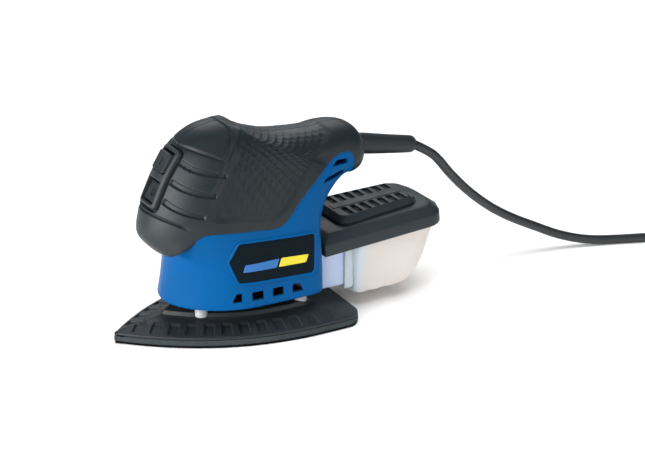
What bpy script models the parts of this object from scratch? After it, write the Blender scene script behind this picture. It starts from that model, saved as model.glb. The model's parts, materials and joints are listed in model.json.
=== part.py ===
"""Detail mouse sander: a palm sander with a pointed orbiting pad, a dust box and a mains cord.

All sizes are in millimetres and are scaled to metres where a mesh is made. The origin is on the
spindle's axis at the sanding face. -X points to the nose, -Y to the left side, +Z up.
"""

import math

import bmesh
import bpy
import numpy as np
from mathutils import Matrix, Vector
from mathutils.bvhtree import BVHTree

MM = 0.001
GAP = 0.3  # clearance between touching pieces

# Sole: nose-to-rear length, widest half-width and where it lies, nose half angle, rear corners.
SOLE_LENGTH, SOLE_NOSE_X = 140.0, -72.0
SOLE_HALF, SOLE_WIDEST_X, NOSE_SLOPE = 47.0, 37.0, 1.0
REAR_HALF, REAR_CORNER, REAR_BOW = 46.5, 11.7, 0.5
HOOK_TOP, FOAM_TOP, RIM_TOP, PLATFORM_Z = 1.6, 5.2, 7.0, 14.5
LEG_R, LEG_LOW, LEG_HIGH, LEG_PLAY = 3.7, 12.3, 25.4, 1.85
LEG_PLACES = ((-23.0, -13.6), (-23.0, 13.6), (36.5, -23.5), (36.5, 23.5))

# Orbital drive.
ORBIT = 0.75
SHAFT_R, SHAFT_BOTTOM, SHAFT_TOP = 4.0, 25.5, 107.0
STUB_R, BEARING_R = 4.7, 11.0
CORE_LOW, CORE_HIGH = 58.0, 80.0
BRUSH_Z = 94.5

# Body: each section runs from an inner point to an outer point of the side view, with its
# half-width, then the squareness of its inner and outer end. (x, z, x, z, half, inner, outer)
BODY_SECTIONS = (
    (48.6, 21.5, -42.2, 21.5, 37.3, 9.0, 1.95),
    (48.6, 36.0, -39.6, 36.0, 36.6, 9.0, 1.95),
    (48.8, 49.0, -38.3, 49.0, 35.8, 8.0, 2.00),
    (49.6, 57.0, -47.6, 55.4, 35.3, 6.5, 2.50),
    (51.4, 65.0, -53.6, 65.0, 35.0, 5.5, 2.00),
    (54.2, 70.8, -51.5, 75.6, 34.6, 4.8, 2.06),
    (58.0, 75.4, -46.6, 87.3, 33.8, 4.2, 2.13),
    (62.5, 78.6, -39.6, 101.0, 32.6, 3.7, 2.14),
    (66.5, 80.6, -28.7, 115.5, 30.8, 3.4, 2.16),
    (70.0, 81.8, -15.4, 122.6, 28.8, 3.2, 2.16),
    (73.0, 82.4, -3.2, 124.7, 27.0, 3.0, 2.12),
    (75.5, 82.8, 11.4, 118.5, 25.4, 2.9, 2.18),
    (77.8, 83.2, 30.0, 113.4, 24.0, 2.8, 2.30),
    (80.0, 83.8, 52.0, 112.2, 22.6, 2.7, 2.30),
    (82.0, 84.8, 68.0, 111.2, 20.8, 2.6, 2.35),
    (84.0, 87.0, 78.5, 107.8, 16.8, 2.5, 2.40),
    (85.4, 90.5, 83.4, 102.5, 10.6, 2.4, 2.40),
    (86.0, 96.0, 85.9, 96.6, 1.2, 2.0, 2.00),
)
SECTION_POINTS = 14
RUBBER, WALL = 2.2, 4.6
# Lower edge of the soft grip in the side view, from the chin to the underside of the handle end.
GRIP_EDGE = (
    (-80, 49), (-39, 49), (-38, 52), (-37.8, 57), (-36.6, 61), (-34, 64.6), (-29.5, 67.6),
    (-24, 68.8), (-13, 68.6), (2, 67.6), (14.5, 66.6), (20, 67.4), (25.6, 72.4), (31.4, 78.5),
    (37.6, 83.9), (44.2, 88.7), (51.2, 93.1), (57.1, 96.8), (60.6, 98.7), (64.8, 99.8),
    (69.3, 99.6), (72.3, 97.4), (73.4, 93.8), (73.6, 89.4), (74, 70),
)
GRIP_FAR = ((100, 70), (110, 140), (-80, 140))
LABEL_OUTLINE = ((-8.0, 61.2), (40.6, 58.6), (39.0, 35.6), (-8.5, 37.4), (-13.4, 50.4))
LABEL_DEPTH = 0.9
SIDE_VENTS = (
    ((-13.0, 25.6), (-6.8, 25.6), (-6.7, 31.0), (-10.2, 31.0)),
    ((-1.2, 25.6), (6.3, 25.6), (6.3, 31.0), (-1.2, 31.0)),
    ((11.8, 25.6), (19.1, 25.6), (19.1, 31.0), (11.8, 31.0)),
    ((24.6, 25.6), (32.0, 25.6), (29.4, 31.0), (24.6, 31.0)),
)
HANDLE_VENTS = (
    ((56.9, 92.8), (68.7, 92.9), (69.0, 96.0), (61.2, 96.4)),
    ((48.6, 85.6), (61.5, 86.0), (66.8, 87.6), (66.0, 89.4), (51.6, 88.0)),
)
SCREW_PLACES = ((-27.0, 31.0), (42.5, 30.0), (-23.0, 58.0), (50.0, 76.0))
SCREW_R, SCREW_SUNK = 3.2, 2.0

# Switch: a framed rocker set on the front of the cap.
SWITCH_CENTRE = (-40.4, 96.9)
SWITCH_LEAN = math.radians(32.0)
FRAME_WIDE, FRAME_TALL, FRAME_PROUD = 19.4, 35.6, 1.0
WINDOW_WIDE, WINDOW_TALL, WINDOW_MID = 14.6, 13.6, 9.1
PAD_WIDE, PAD_TALL = 13.6, 11.8
ROCKER_PIVOT, ROCKER_TILT = -3.0, math.radians(8.0)

# Dust box, tilted up towards the rear.
BOX_TILT = math.radians(3.9)
LID_ORIGIN = (49.6, 40.2)
LID_LENGTH, LID_FRONT_HALF, LID_REAR_HALF = 86.6, 30.3, 29.4
LID_BAND, LID_TOP, PLATEAU_TOP = 7.2, 11.4, 16.2
BIN_WALL = 1.6
NECK_FRONT, NECK_HALF = 49.2, 22.0

# Cord: points of its free stretch, and the coil beside it.
CORD_R = 2.9
CORD_ROUTE = (
    (127.6, 0, 87.7), (141.3, 0, 77.8), (153.9, 0, 61.5), (166.7, 0, 47.0), (182.2, 0, 33.1),
    (198.0, -0.6, 23.4), (216.0, -1.8, 15.6), (236.0, -4.4, 8.2), (256.0, -8.8, 3.9),
    (277.0, -15.6, 2.95), (303.0, -25.2, 2.95), (331.0, -35.7, 2.95),
)
CORD_POINTS = 24
COIL_CENTRE, COIL_MID_R = (367.8, -5.0), 33.0
COIL_COLUMNS, COIL_LAYERS = 4, 2
TAIL_ANGLE = math.radians(-20.0)
PLUG_SIZE = (45.0, 44.0, 19.0)

BLUE = ("blue_plastic", (0.0, 0.133, 0.428), 0.32, 0)
GRIP = ("grip_rubber", (0.026, 0.032, 0.035), 0.62, 0)
BLACK = ("black_plastic", (0.018, 0.021, 0.023), 0.5, 0)
LABEL = ("label_film", (0.009, 0.014, 0.018), 0.35, 0)
GREY = ("pad_foam", (0.07, 0.08, 0.085), 0.85, 0)
HOOK = ("hook_fabric", (0.015, 0.015, 0.016), 0.95, 0)
LEG = ("leg_plastic", (0.55, 0.56, 0.57), 0.45, 0)
MILKY = ("milky_plastic", (0.72, 0.66, 0.61), 0.4, 0)
STEEL = ("steel", (0.55, 0.56, 0.57), 0.3, 1)
COPPER = ("copper", (0.7, 0.3, 0.14), 0.35, 1)
BRASS = ("brass", (0.75, 0.58, 0.25), 0.35, 1)
CARBON = ("carbon", (0.03, 0.03, 0.032), 0.6, 0)
CREAM = ("inner_plastic", (0.5, 0.47, 0.4), 0.5, 0)
PAPER = ("filter_paper", (0.75, 0.7, 0.6), 0.9, 0)


# ---------------------------------------------------------------- helpers

def clear_scene():
    for obj in list(bpy.data.objects):
        bpy.data.objects.remove(obj)


def collection(name, hidden=False):
    made = bpy.data.collections.new(name)
    made.hide_render = hidden
    bpy.context.scene.collection.children.link(made)
    return made


def material(finish):
    name, colour, roughness, metallic = finish
    if name in bpy.data.materials:
        return bpy.data.materials[name]
    made = bpy.data.materials.new(name)
    made.use_nodes = True
    shader = made.node_tree.nodes["Principled BSDF"]
    shader.inputs["Base Color"].default_value = (*colour, 1)
    shader.inputs["Roughness"].default_value = roughness
    shader.inputs["Metallic"].default_value = metallic
    return made


def place(name, data, finish):
    """Put a data block in the scene: a part when it has a finish, else a cutter."""
    obj = bpy.data.objects.new(name, data)
    if finish:
        data.materials.append(material(finish))
        PARTS.objects.link(obj)
    else:
        obj.hide_render = True
        obj.display_type = "WIRE"
        CUTTERS.objects.link(obj)
    return obj


def from_bmesh(name, bm, finish):
    bmesh.ops.recalc_face_normals(bm, faces=bm.faces)
    bmesh.ops.scale(bm, vec=(MM, MM, MM), verts=bm.verts)
    data = bpy.data.meshes.new(name)
    bm.to_mesh(data)
    bm.free()
    data.shade_smooth()
    data.set_sharp_from_angle(angle=math.radians(35))
    return place(name, data, finish)


def add_box(bm, low, high):
    low, high = Vector(low), Vector(high)
    sides = Matrix.Diagonal((*(high - low), 1))
    bmesh.ops.create_cube(bm, size=1, matrix=Matrix.Translation((low + high) / 2) @ sides)


def box(name, low, high, finish=None, bevel=0.0):
    bm = bmesh.new()
    add_box(bm, low, high)
    obj = from_bmesh(name, bm, finish)
    if bevel:
        soften(obj, bevel)
    return obj


def soften(obj, width, segments=2):
    made = obj.modifiers.new("rounded_edges", "BEVEL")
    made.width = width * MM
    made.segments = segments
    made.limit_method = "ANGLE"
    made.angle_limit = math.radians(40)


def turned(name, profile, finish=None, centre=(0, 0), steps=28, ring=False):
    """A profile of (radius, z) turned about a vertical axis: its outer side runs downwards."""
    x, y = centre
    points = [(r * MM, 0, z * MM) for r, z in profile]
    count = len(points)
    edges = [(i, (i + 1) % count) for i in range(count if ring else count - 1)]
    data = bpy.data.meshes.new(name)
    data.from_pydata(points, edges, [])
    obj = place(name, data, finish)
    obj.location = (x * MM, y * MM, 0)
    screw = obj.modifiers.new("turned", "SCREW")
    screw.steps = screw.render_steps = steps
    screw.use_merge_vertices = True
    screw.merge_threshold = 1e-5
    screw.use_smooth_shade = True
    return obj


def disc(name, radius, low, high, finish=None, centre=(0, 0), steps=28):
    return turned(name, ((0, high), (radius, high), (radius, low), (0, low)), finish, centre, steps)


def ring(name, inner, outer, low, high, finish=None, centre=(0, 0), steps=28):
    profile = ((inner, high), (outer, high), (outer, low), (inner, low))
    return turned(name, profile, finish, centre, steps, ring=True)


def loft(name, rings, finish=None, halved=False):
    """A closed skin over rings of equal point count, with a flat cap on the first and last.

    Its quads can be halved, always the same way, so that a loft moved inwards never crosses it.
    """
    bm = bmesh.new()
    rows = [[bm.verts.new(point) for point in ring_points] for ring_points in rings]
    count = len(rows[0])
    for lower, upper in zip(rows, rows[1:]):
        for i in range(count):
            j = (i + 1) % count
            if halved:
                bm.faces.new((lower[i], lower[j], upper[j]))
                bm.faces.new((lower[i], upper[j], upper[i]))
            else:
                bm.faces.new((lower[i], lower[j], upper[j], upper[i]))
    bm.faces.new(rows[0])
    bm.faces.new(rows[-1])
    return from_bmesh(name, bm, finish)


def prism(name, outline, frame, low, high, finish=None):
    """An outline of (u, v) carried from low to high along the frame's third axis."""
    origin, u, v, w = (Vector(axis) for axis in frame)
    base = [origin + u * a + v * b for a, b in outline]
    return loft(name, [[p + w * low for p in base], [p + w * high for p in base]], finish)


SIDE_VIEW = ((0, 0, 0), (1, 0, 0), (0, 0, 1), (0, -1, 0))
PLAN_VIEW = ((0, 0, 0), (1, 0, 0), (0, 1, 0), (0, 0, 1))


def shrunk(outline, by):
    """The outline moved inwards by a distance, for the gap between a piece and its recess."""
    points = [Vector(p) for p in outline]
    area = sum(a.x * b.y - b.x * a.y for a, b in zip(points, points[1:] + points[:1]))
    side = 1 if area > 0 else -1
    moved = []
    for before, here, after in zip(points[-1:] + points[:-1], points, points[1:] + points[:1]):
        into, out = (here - before).normalized(), (after - here).normalized()
        normal = Vector((-into.y - out.y, into.x + out.x)).normalized() * side
        sine = max(0.35, abs(normal.dot(Vector((-into.y, into.x)))))
        moved.append(here + normal * by / sine)
    return moved


def rounded_rectangle(wide, tall, corner, steps=4):
    points = []
    for turn, (sx, sy) in enumerate(((1, 1), (-1, 1), (-1, -1), (1, -1))):
        for i in range(steps + 1):
            angle = math.radians(90 * (turn + i / steps))
            x = sx * (wide / 2 - corner) + corner * math.cos(angle)
            y = sy * (tall / 2 - corner) + corner * math.sin(angle)
            points.append((x, y))
    return points


def tube(name, points, radius, finish, sides=2, cyclic=False, tapers=None):
    """A round rod along points, with flat ends. tapers gives each point's share of the radius."""
    curve = bpy.data.curves.new(name, "CURVE")
    curve.dimensions = "3D"
    curve.bevel_depth = radius * MM
    curve.bevel_resolution = sides
    curve.use_fill_caps = not cyclic
    spline = curve.splines.new("POLY")
    spline.points.add(len(points) - 1)
    for i, point in enumerate(points):
        spline.points[i].co = (*(Vector(point) * MM), 1)
        spline.points[i].radius = tapers[i] if tapers else 1
    spline.use_cyclic_u = cyclic
    return place(name, curve, finish)


def combine(obj, operation, *others):
    for other in others:
        made = obj.modifiers.new(operation.lower() + "_" + other.name, "BOOLEAN")
        made.operation = operation
        made.solver = "EXACT"
        made.object = other
    return obj


def cut(obj, *others):
    return combine(obj, "DIFFERENCE", *others)


def smooth_path(route, count):
    """Points at even steps along the smooth curve through a route's points."""
    points = [Vector(p) for p in route]
    points = [points[0] * 2 - points[1], *points, points[-1] * 2 - points[-2]]
    fine = []
    for a, b, c, d in zip(points, points[1:], points[2:], points[3:]):
        for step in range(20):
            t = step / 20
            fine.append(0.5 * (2 * b + (c - a) * t + (2 * a - 5 * b + 4 * c - d) * t ** 2
                               + (3 * b - a - 3 * c + d) * t ** 3))
    fine.append(points[-2])
    along = np.cumsum([0.0] + [(q - p).length for p, q in zip(fine, fine[1:])])
    wanted = np.linspace(0, along[-1], count)
    axes = [np.interp(wanted, along, [p[k] for p in fine]) for k in range(3)]
    return [Vector(p) for p in zip(*axes)]


# ---------------------------------------------------------------- body surface

def body_section(row, inset):
    """One closed ring of the body, moved inwards by a wall thickness."""
    inner, outer = Vector((row[0], 0, row[1])), Vector((row[2], 0, row[3]))
    half, n_in, n_out = row[4] - inset, row[5], row[6]
    along = (outer - inner).normalized()
    inner, outer = inner + along * inset, outer - along * inset
    turn = np.linspace(0, math.pi, 240)
    power = np.where(turn <= math.pi / 2, 2 / n_in, 2 / n_out)
    share = 0.5 - 0.5 * np.sign(np.cos(turn)) * np.abs(np.cos(turn)) ** power
    across = half * np.abs(np.sin(turn)) ** power
    start, span = np.array(inner), np.array(outer - inner)
    points = start + span * share[:, None] + np.outer(across, (0, 1, 0))
    steps = np.linalg.norm(np.diff(points, axis=0), axis=1)
    length = np.concatenate([[0], np.cumsum(steps)])
    even = np.linspace(0, length[-1], SECTION_POINTS)
    half_ring = [Vector([np.interp(t, length, points[:, k]) for k in range(3)]) for t in even]
    other = [Vector((p.x, -p.y, p.z)) for p in half_ring[-2:0:-1]]
    return half_ring + other


def body_rings(inset=0.0, ends_dropped=0, bottom_drop=0.0, end_reach=0.0):
    """The body's rings, on request without its last ones, and carried on down or rearwards."""
    rows = BODY_SECTIONS[:len(BODY_SECTIONS) - ends_dropped]
    rings = [body_section(row, inset) for row in rows]
    if bottom_drop:
        rings.insert(0, [p - Vector((0, 0, bottom_drop)) for p in rings[0]])
    if end_reach:
        rings.append([p + Vector((end_reach, 0, 0)) for p in rings[-1]])
    return rings


def body_loft(name, finish=None, **shape):
    return loft(name, body_rings(**shape), finish, halved=True)


def surface_y(body, x, z):
    """How far the body's side stands out at a point of the side view."""
    graph = bpy.context.evaluated_depsgraph_get()
    tree = BVHTree.FromObject(body, graph)
    hit = tree.ray_cast(Vector((x * MM, 0.2, z * MM)), Vector((0, -1, 0)))[0]
    return hit.y / MM


def half_space(name, side, margin):
    """Everything on the other side of the parting plane, and a margin past it."""
    far = 200.0
    low, high = (-far, -far, -20), (far, margin, far)
    if side < 0:
        low, high = (-far, -margin, -20), (far, far, far)
    return box(name, low, high)


# ---------------------------------------------------------------- housing and grip

def switch_frame_axes():
    x, z = SWITCH_CENTRE
    up = (math.sin(SWITCH_LEAN), 0, math.cos(SWITCH_LEAN))
    out = (-math.cos(SWITCH_LEAN), 0, math.sin(SWITCH_LEAN))
    return ((x, 0, z), (0, -1, 0), up, out)


def strain_axis(distance):
    """A point on the cord's way out of the handle, from the handle's end wall."""
    return Vector((89.0 + distance * 0.981, 0, 95.2 - distance * 0.19))


def make_cutters():
    grip_outline = GRIP_EDGE + GRIP_FAR
    deep = body_loft("grip_floor", inset=RUBBER, ends_dropped=1, bottom_drop=6)
    recess = prism("grip_recess", grip_outline, SIDE_VIEW, -80, 80)
    cut(recess, deep)
    shallow = body_loft("grip_back", inset=RUBBER - GAP, ends_dropped=1, bottom_drop=6,
                        end_reach=GAP)
    region = prism("grip_region", shrunk(grip_outline, GAP), SIDE_VIEW, -80, 80)
    cavity = body_loft("cavity", inset=WALL, ends_dropped=2, bottom_drop=6)
    label_floor = body_loft("label_floor", inset=LABEL_DEPTH + GAP, ends_dropped=1, bottom_drop=6)
    label_back = body_loft("label_back", inset=LABEL_DEPTH, ends_dropped=1, bottom_drop=6)
    label_recess = prism("label_recess", LABEL_OUTLINE, SIDE_VIEW, -80, 80)
    cut(label_recess, label_floor)
    frame = switch_frame_axes()
    hole = rounded_rectangle(FRAME_WIDE + 2 * GAP, FRAME_TALL + 2 * GAP, 2.6)
    switch_hole = prism("switch_hole", hole, frame, -12, 30)
    cable = tube("cable_hole_guide", (strain_axis(-14), strain_axis(20)), 6.9, None, 3)
    cable_hole = solid_copy("cable_hole", cable)
    outlet = box("outlet_hole", (38, -12.5, 24.9), (60, 12.5, 38.5))
    vents = []
    for i, outline in enumerate(SIDE_VENTS + HANDLE_VENTS):
        vents.append(prism(f"vent_cutter_{i}", outline, SIDE_VIEW, -60, 60))
    return {
        "recess": recess, "region": region, "back": shallow, "cavity": cavity,
        "label_recess": label_recess, "label_back": label_back, "switch": switch_hole,
        "cable": cable_hole, "outlet": outlet, "vents": vents,
    }


def solid_copy(name, curve_obj):
    """A mesh cutter with the shape of a curve, its caps welded on. The curve is removed."""
    bpy.context.view_layer.update()
    graph = bpy.context.evaluated_depsgraph_get()
    data = bpy.data.meshes.new_from_object(curve_obj.evaluated_get(graph))
    bm = bmesh.new()
    bm.from_mesh(data)
    bmesh.ops.remove_doubles(bm, verts=bm.verts, dist=1e-6)
    bmesh.ops.recalc_face_normals(bm, faces=bm.faces)
    bm.to_mesh(data)
    bm.free()
    obj = place(name, data, None)
    obj.matrix_world = curve_obj.matrix_world
    bpy.data.objects.remove(curve_obj)
    return obj


def screw_hole_places(body):
    return [(x, surface_y(body, x, z), z) for x, z in SCREW_PLACES]


def sideways(name, radius, x, z, near, far, finish=None, steps=14):
    """A round bar across the body, from y near to y far."""
    bm = bmesh.new()
    middle, length = (near + far) / 2, abs(far - near)
    turn = Matrix.Translation((x, middle, z)) @ Matrix.Rotation(math.pi / 2, 4, "X")
    bmesh.ops.create_cone(bm, cap_ends=True, segments=steps, radius1=radius, radius2=radius,
                          depth=length, matrix=turn)
    return from_bmesh(name, bm, finish)


def make_housing(cutters):
    guide = body_loft("body_guide")
    bpy.context.view_layer.update()
    screws = screw_hole_places(guide)
    for side, word in ((-1, "left"), (1, "right")):
        other_half = half_space(f"{word}_other_half", side, GAP / 2)
        shell = body_loft(f"{word}_housing", BLUE)
        cut(shell, other_half, cutters["cavity"], cutters["recess"], cutters["label_recess"],
            cutters["switch"], cutters["cable"], cutters["outlet"], *cutters["vents"])
        grip = body_loft(f"{word}_grip", GRIP)
        cut(grip, other_half)
        combine(grip, "INTERSECT", cutters["region"])
        cut(grip, cutters["back"], cutters["switch"], cutters["cable"])
        label = body_loft(f"{word}_label", LABEL)
        cut(label, other_half)
        region = prism(f"{word}_label_region", shrunk(LABEL_OUTLINE, GAP), SIDE_VIEW, -80, 80)
        combine(label, "INTERSECT", region)
        cut(label, cutters["label_back"])
        if side > 0:
            for i, (x, y, z) in enumerate(screws, 1):
                pocket = sideways(f"screw_pocket_{i}", SCREW_R + GAP, x, z, y + 5, y - 4.0)
                cut(shell, pocket)
                screw(f"housing_screw_{i}", x, y - SCREW_SUNK, z)
    bpy.data.objects.remove(guide)


def screw(name, x, y, z):
    """A pan-head screw lying across the body, its head outermost, with a cross recess."""
    head = sideways(name, SCREW_R, x, z, y, y - 1.6, STEEL)
    for i, (a, b) in enumerate(((2.0, 0.45), (0.45, 2.0))):
        slot = box(f"{name}_slot_{i}", (x - a, y - 0.9, z - b), (x + a, y + 1, z + b))
        cut(head, slot)
    return head


# ---------------------------------------------------------------- switch

def make_switch():
    frame = switch_frame_axes()
    plate = body_loft("switch_frame", BLACK, inset=-FRAME_PROUD)
    outline = rounded_rectangle(FRAME_WIDE, FRAME_TALL, 2.3)
    combine(plate, "INTERSECT", prism("frame_region", outline, frame, -6.4, 20))
    for sign, word in ((1, "upper"), (-1, "lower")):
        window = [(u, v + sign * WINDOW_MID)
                  for u, v in rounded_rectangle(WINDOW_WIDE, WINDOW_TALL, 0.8, 2)]
        cut(plate, prism(f"{word}_window", window, frame, -20, 30))
    across = rounded_rectangle(WINDOW_WIDE, 12.0, 0.8, 2)
    cut(plate, prism("rocker_room", across, frame, -20, -2.4))
    make_rocker(frame)
    back = rounded_rectangle(15.4, 34.0, 1.5, 2)
    prism("switch_body", back, frame, -19.0, -11.4, CREAM)


def make_rocker(frame):
    """One rocker with a raised pad and a sunk pad, tipped about a pin behind the crossbar."""
    origin, across, up, out = (Vector(axis) for axis in frame)
    pivot = origin + out * ROCKER_PIVOT
    tipped = Matrix.Rotation(ROCKER_TILT, 3, across)
    axes = (pivot, across, tipped @ up, tipped @ out)
    web = rounded_rectangle(PAD_WIDE, 2 * WINDOW_MID, 0.6, 2)
    rocker = prism("switch_rocker", web, axes, -5.6, -1.4, BLACK)
    for sign, word in ((1, "on"), (-1, "off")):
        pad = [(u, v + sign * WINDOW_MID)
               for u, v in rounded_rectangle(PAD_WIDE, PAD_TALL, 0.9, 2)]
        combine(rocker, "UNION", prism(f"{word}_pad", pad, axes, -4.8, 3.1))
    return rocker


# ---------------------------------------------------------------- motor and drive

def make_motor():
    disc("armature_shaft", SHAFT_R, SHAFT_BOTTOM, SHAFT_TOP, STEEL, steps=20)
    bore = SHAFT_R + GAP
    ring("armature_core", bore, 11.5, CORE_LOW, CORE_HIGH, STEEL)
    ring("lower_winding", bore, 10.0, 50.0, CORE_LOW - GAP, COPPER, steps=20)
    ring("upper_winding", bore, 10.0, CORE_HIGH + GAP, 88.0, COPPER, steps=20)
    ring("commutator", bore, 8.5, 89.5, 99.5, BRASS, steps=20)
    ring("upper_bearing", bore, 8.5, 100.2, 106.6, STEEL, steps=20)
    ring("lower_bearing", bore, 9.0, 37.6, 44.4, STEEL, steps=20)
    ring("field_core", 16.3, 23.5, CORE_LOW, CORE_HIGH, STEEL)
    profile = ((9.4, 45.0), (12.4, 45.0), (12.4, 40.4), (26.5, 40.4), (26.5, 37.4), (9.4, 37.4))
    turned("bearing_bracket", profile, CREAM, ring=True)
    for side, word in ((-1, "left"), (1, "right")):
        field_coil(f"{word}_field_coil", side)
        brush_gear(word, side)
    make_fan()


def field_coil(name, side):
    """A saddle of wire: over the core's top and bottom, and down its bore at both ends."""
    middle, spread = side * 90, 62
    low, high = CORE_LOW - 2.6, CORE_HIGH + 2.6
    points = []
    for z, order in ((high, 1), (low, -1)):
        for i in range(9):
            angle = math.radians(middle + order * spread * (i / 4 - 1))
            radius = 18.2 if 0 < i < 8 else 14.1
            points.append((radius * math.cos(angle), radius * math.sin(angle), z))
    return tube(name, points, 1.9, COPPER, sides=1, cyclic=True)


def brush_gear(word, side):
    inner, outer = 9.6, 21.4
    low = (-4.4, min(side * inner, side * outer), BRUSH_Z - 4.4)
    high = (4.4, max(side * inner, side * outer), BRUSH_Z + 4.4)
    holder = box(f"{word}_brush_holder", low, high, BRASS)
    way = box(f"{word}_brush_way", (-2.9, -30, BRUSH_Z - 2.9), (2.9, 30, BRUSH_Z + 2.9))
    cut(holder, way)
    ends = sorted((side * 8.9, side * 16.0))
    box(f"{word}_brush", (-2.5, ends[0], BRUSH_Z - 2.5), (2.5, ends[1], BRUSH_Z + 2.5), CARBON)
    turns = []
    for i in range(25):
        angle = math.radians(60 * i)
        y = side * (16.9 + 4.0 * i / 24)
        turns.append((1.7 * math.cos(angle), y, BRUSH_Z + 1.7 * math.sin(angle)))
    tube(f"{word}_brush_spring", turns, 0.35, STEEL, sides=0)


def make_fan():
    fan = ring("fan", SHAFT_R + GAP, 24.0, 26.0, 27.4, BLACK)
    hub = ring("fan_hub", SHAFT_R + GAP, 7.5, 26.0, 35.0)
    combine(fan, "UNION", hub)
    for i in range(9):
        bm = bmesh.new()
        add_box(bm, (6.5, -0.7, 26.5), (23.4, 0.7, 34.0))
        bmesh.ops.rotate(bm, verts=bm.verts, matrix=Matrix.Rotation(math.tau * i / 9, 3, "Z"))
        combine(fan, "UNION", from_bmesh(f"fan_vane_{i}", bm, None))


def make_eccentric():
    """The crank on the shaft's end: a hub, an off-centre stub and a half-disc weight."""
    crank = disc("eccentric", 7.0, 19.7, SHAFT_BOTTOM - GAP, STEEL, steps=20)
    stub = disc("eccentric_stub", STUB_R, 12.0, 21.0, None, (ORBIT, 0), 20)
    weight = disc("weight_disc", 13.5, 21.2, 24.6)
    cut(weight, box("weight_half", (-1.0, -20, 15), (20, 20, 30)))
    combine(crank, "UNION", stub, weight)
    centre = (ORBIT, 0)
    ring("eccentric_bearing", STUB_R + GAP, BEARING_R, 12.2, 18.8, STEEL, centre, 24)
    profile = ((0, 11.7), (1.9, 11.7), (1.9, 9.6), (5.4, 9.6), (5.4, 6.6), (0, 6.6))
    turned("pad_screw", profile, STEEL, centre, 18)


# ---------------------------------------------------------------- sole

def sole_outline(inset, steps=9):
    """The mouse shape in plan: a pointed nose with convex sides, and a rounded rear."""
    reach = SOLE_WIDEST_X - SOLE_NOSE_X
    side = []
    for i in range(steps + 1):
        t = i / steps
        rise = (t ** 3 - 2 * t ** 2 + t) * reach * NOSE_SLOPE
        side.append((SOLE_NOSE_X + t * reach, rise + (3 * t ** 2 - 2 * t ** 3) * SOLE_HALF))
    rear = SOLE_NOSE_X + SOLE_LENGTH
    corner_x = rear - REAR_BOW - REAR_CORNER
    for i in range(6):
        angle = math.radians(90 * i / 5)
        side.append((corner_x + REAR_CORNER * math.sin(angle),
                     REAR_HALF - REAR_CORNER * (1 - math.cos(angle))))
    side.append((rear, 0))
    side[0] = (SOLE_NOSE_X, 0)
    blunt = (SOLE_NOSE_X + 0.9, 1.6)
    side = [side[0], blunt, *side[1:]]
    outline = side + [(x, -y) for x, y in side[-2:0:-1]]
    return shrunk(outline, inset) if inset else [Vector(p) for p in outline]


def sole_ring(inset, z):
    return [(p.x, p.y, z) for p in sole_outline(inset)]


def platform_ring(scale, z):
    """The raised middle of the base plate, a smaller mouse shape under the housing."""
    centre = Vector((4.0, 0))
    return [(*(centre + (p - centre) * scale), z) for p in sole_outline(0)]


def make_sole():
    loft("hook_layer", [sole_ring(0.6, 0), sole_ring(0.6, HOOK_TOP - GAP)], HOOK)
    foam = [sole_ring(0.3, HOOK_TOP), sole_ring(0, HOOK_TOP + 0.8), sole_ring(0, FOAM_TOP - GAP)]
    loft("foam_pad", foam, GREY)
    rings = [sole_ring(0.2, FOAM_TOP), sole_ring(0.2, RIM_TOP - 0.6), sole_ring(1.0, RIM_TOP)]
    rings += [platform_ring(0.80, 9.6), platform_ring(0.70, 11.2), platform_ring(0.66, 13.4),
              platform_ring(0.64, PLATFORM_Z)]
    plate = loft("base_plate", rings, BLACK)
    centre = (ORBIT, 0)
    combine(plate, "UNION", disc("bearing_boss", 14.0, 8.0, 19.2, None, centre, 24))
    cut(plate, disc("bearing_bore", BEARING_R + GAP, 11.9, 40.0, None, centre, 24),
        disc("screw_recess", 7.0, 0.0, 9.9, None, centre, 18),
        disc("screw_way", 3.0, 5.0, 20.0, None, centre, 14))
    for i, place_at in enumerate(LEG_PLACES, 1):
        cut(plate, disc(f"leg_seat_{i}", LEG_R + GAP, LEG_LOW - GAP, 30.0, None, place_at, 16))
        disc(f"support_leg_{i}", LEG_R, LEG_LOW, LEG_HIGH, LEG, place_at, 16)
    opening = body_section(BODY_SECTIONS[0], WALL + 0.9)
    levels = [[(p.x, p.y, z) for p in opening] for z in (22.0, 24.4)]
    shroud = loft("base_shroud", levels, BLACK)
    cut(shroud, disc("shroud_hole", 17.0, 10, 40, None, (0, 0), 28))
    for i, place_at in enumerate(LEG_PLACES, 1):
        cut(shroud, disc(f"shroud_leg_hole_{i}", LEG_R + LEG_PLAY, 10, 40, None, place_at, 16))


# ---------------------------------------------------------------- dust box

def lid_frame():
    """Axes of the tilted dust box: along, across, up, from the lid's lower front edge."""
    x, z = LID_ORIGIN
    along = (math.cos(BOX_TILT), 0, math.sin(BOX_TILT))
    up = (-math.sin(BOX_TILT), 0, math.cos(BOX_TILT))
    return ((x, 0, z), along, (0, 1, 0), up)


def lid_outline(front, rear, front_half, rear_half, corner, bulge, steps=4):
    """A plan outline that narrows to the rear, with rounded rear corners and a bowed end."""
    side = [(front, front_half - 2.0), (front + 2.0, front_half)]
    side.append((rear - corner, rear_half))
    for i in range(1, steps + 1):
        angle = math.radians(75 * i / steps)
        side.append((rear - corner + corner * math.sin(angle) * 0.9,
                     rear_half - corner * (1 - math.cos(angle)) * 0.95))
    side.append((rear + bulge * 0.6, rear_half * 0.30))
    return side + [(x, -y) for x, y in reversed(side)]


def box_ring(outline, height):
    origin, along, across, up = (Vector(axis) for axis in lid_frame())
    return [origin + along * a + across * b + up * height for a, b in outline]


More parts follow.
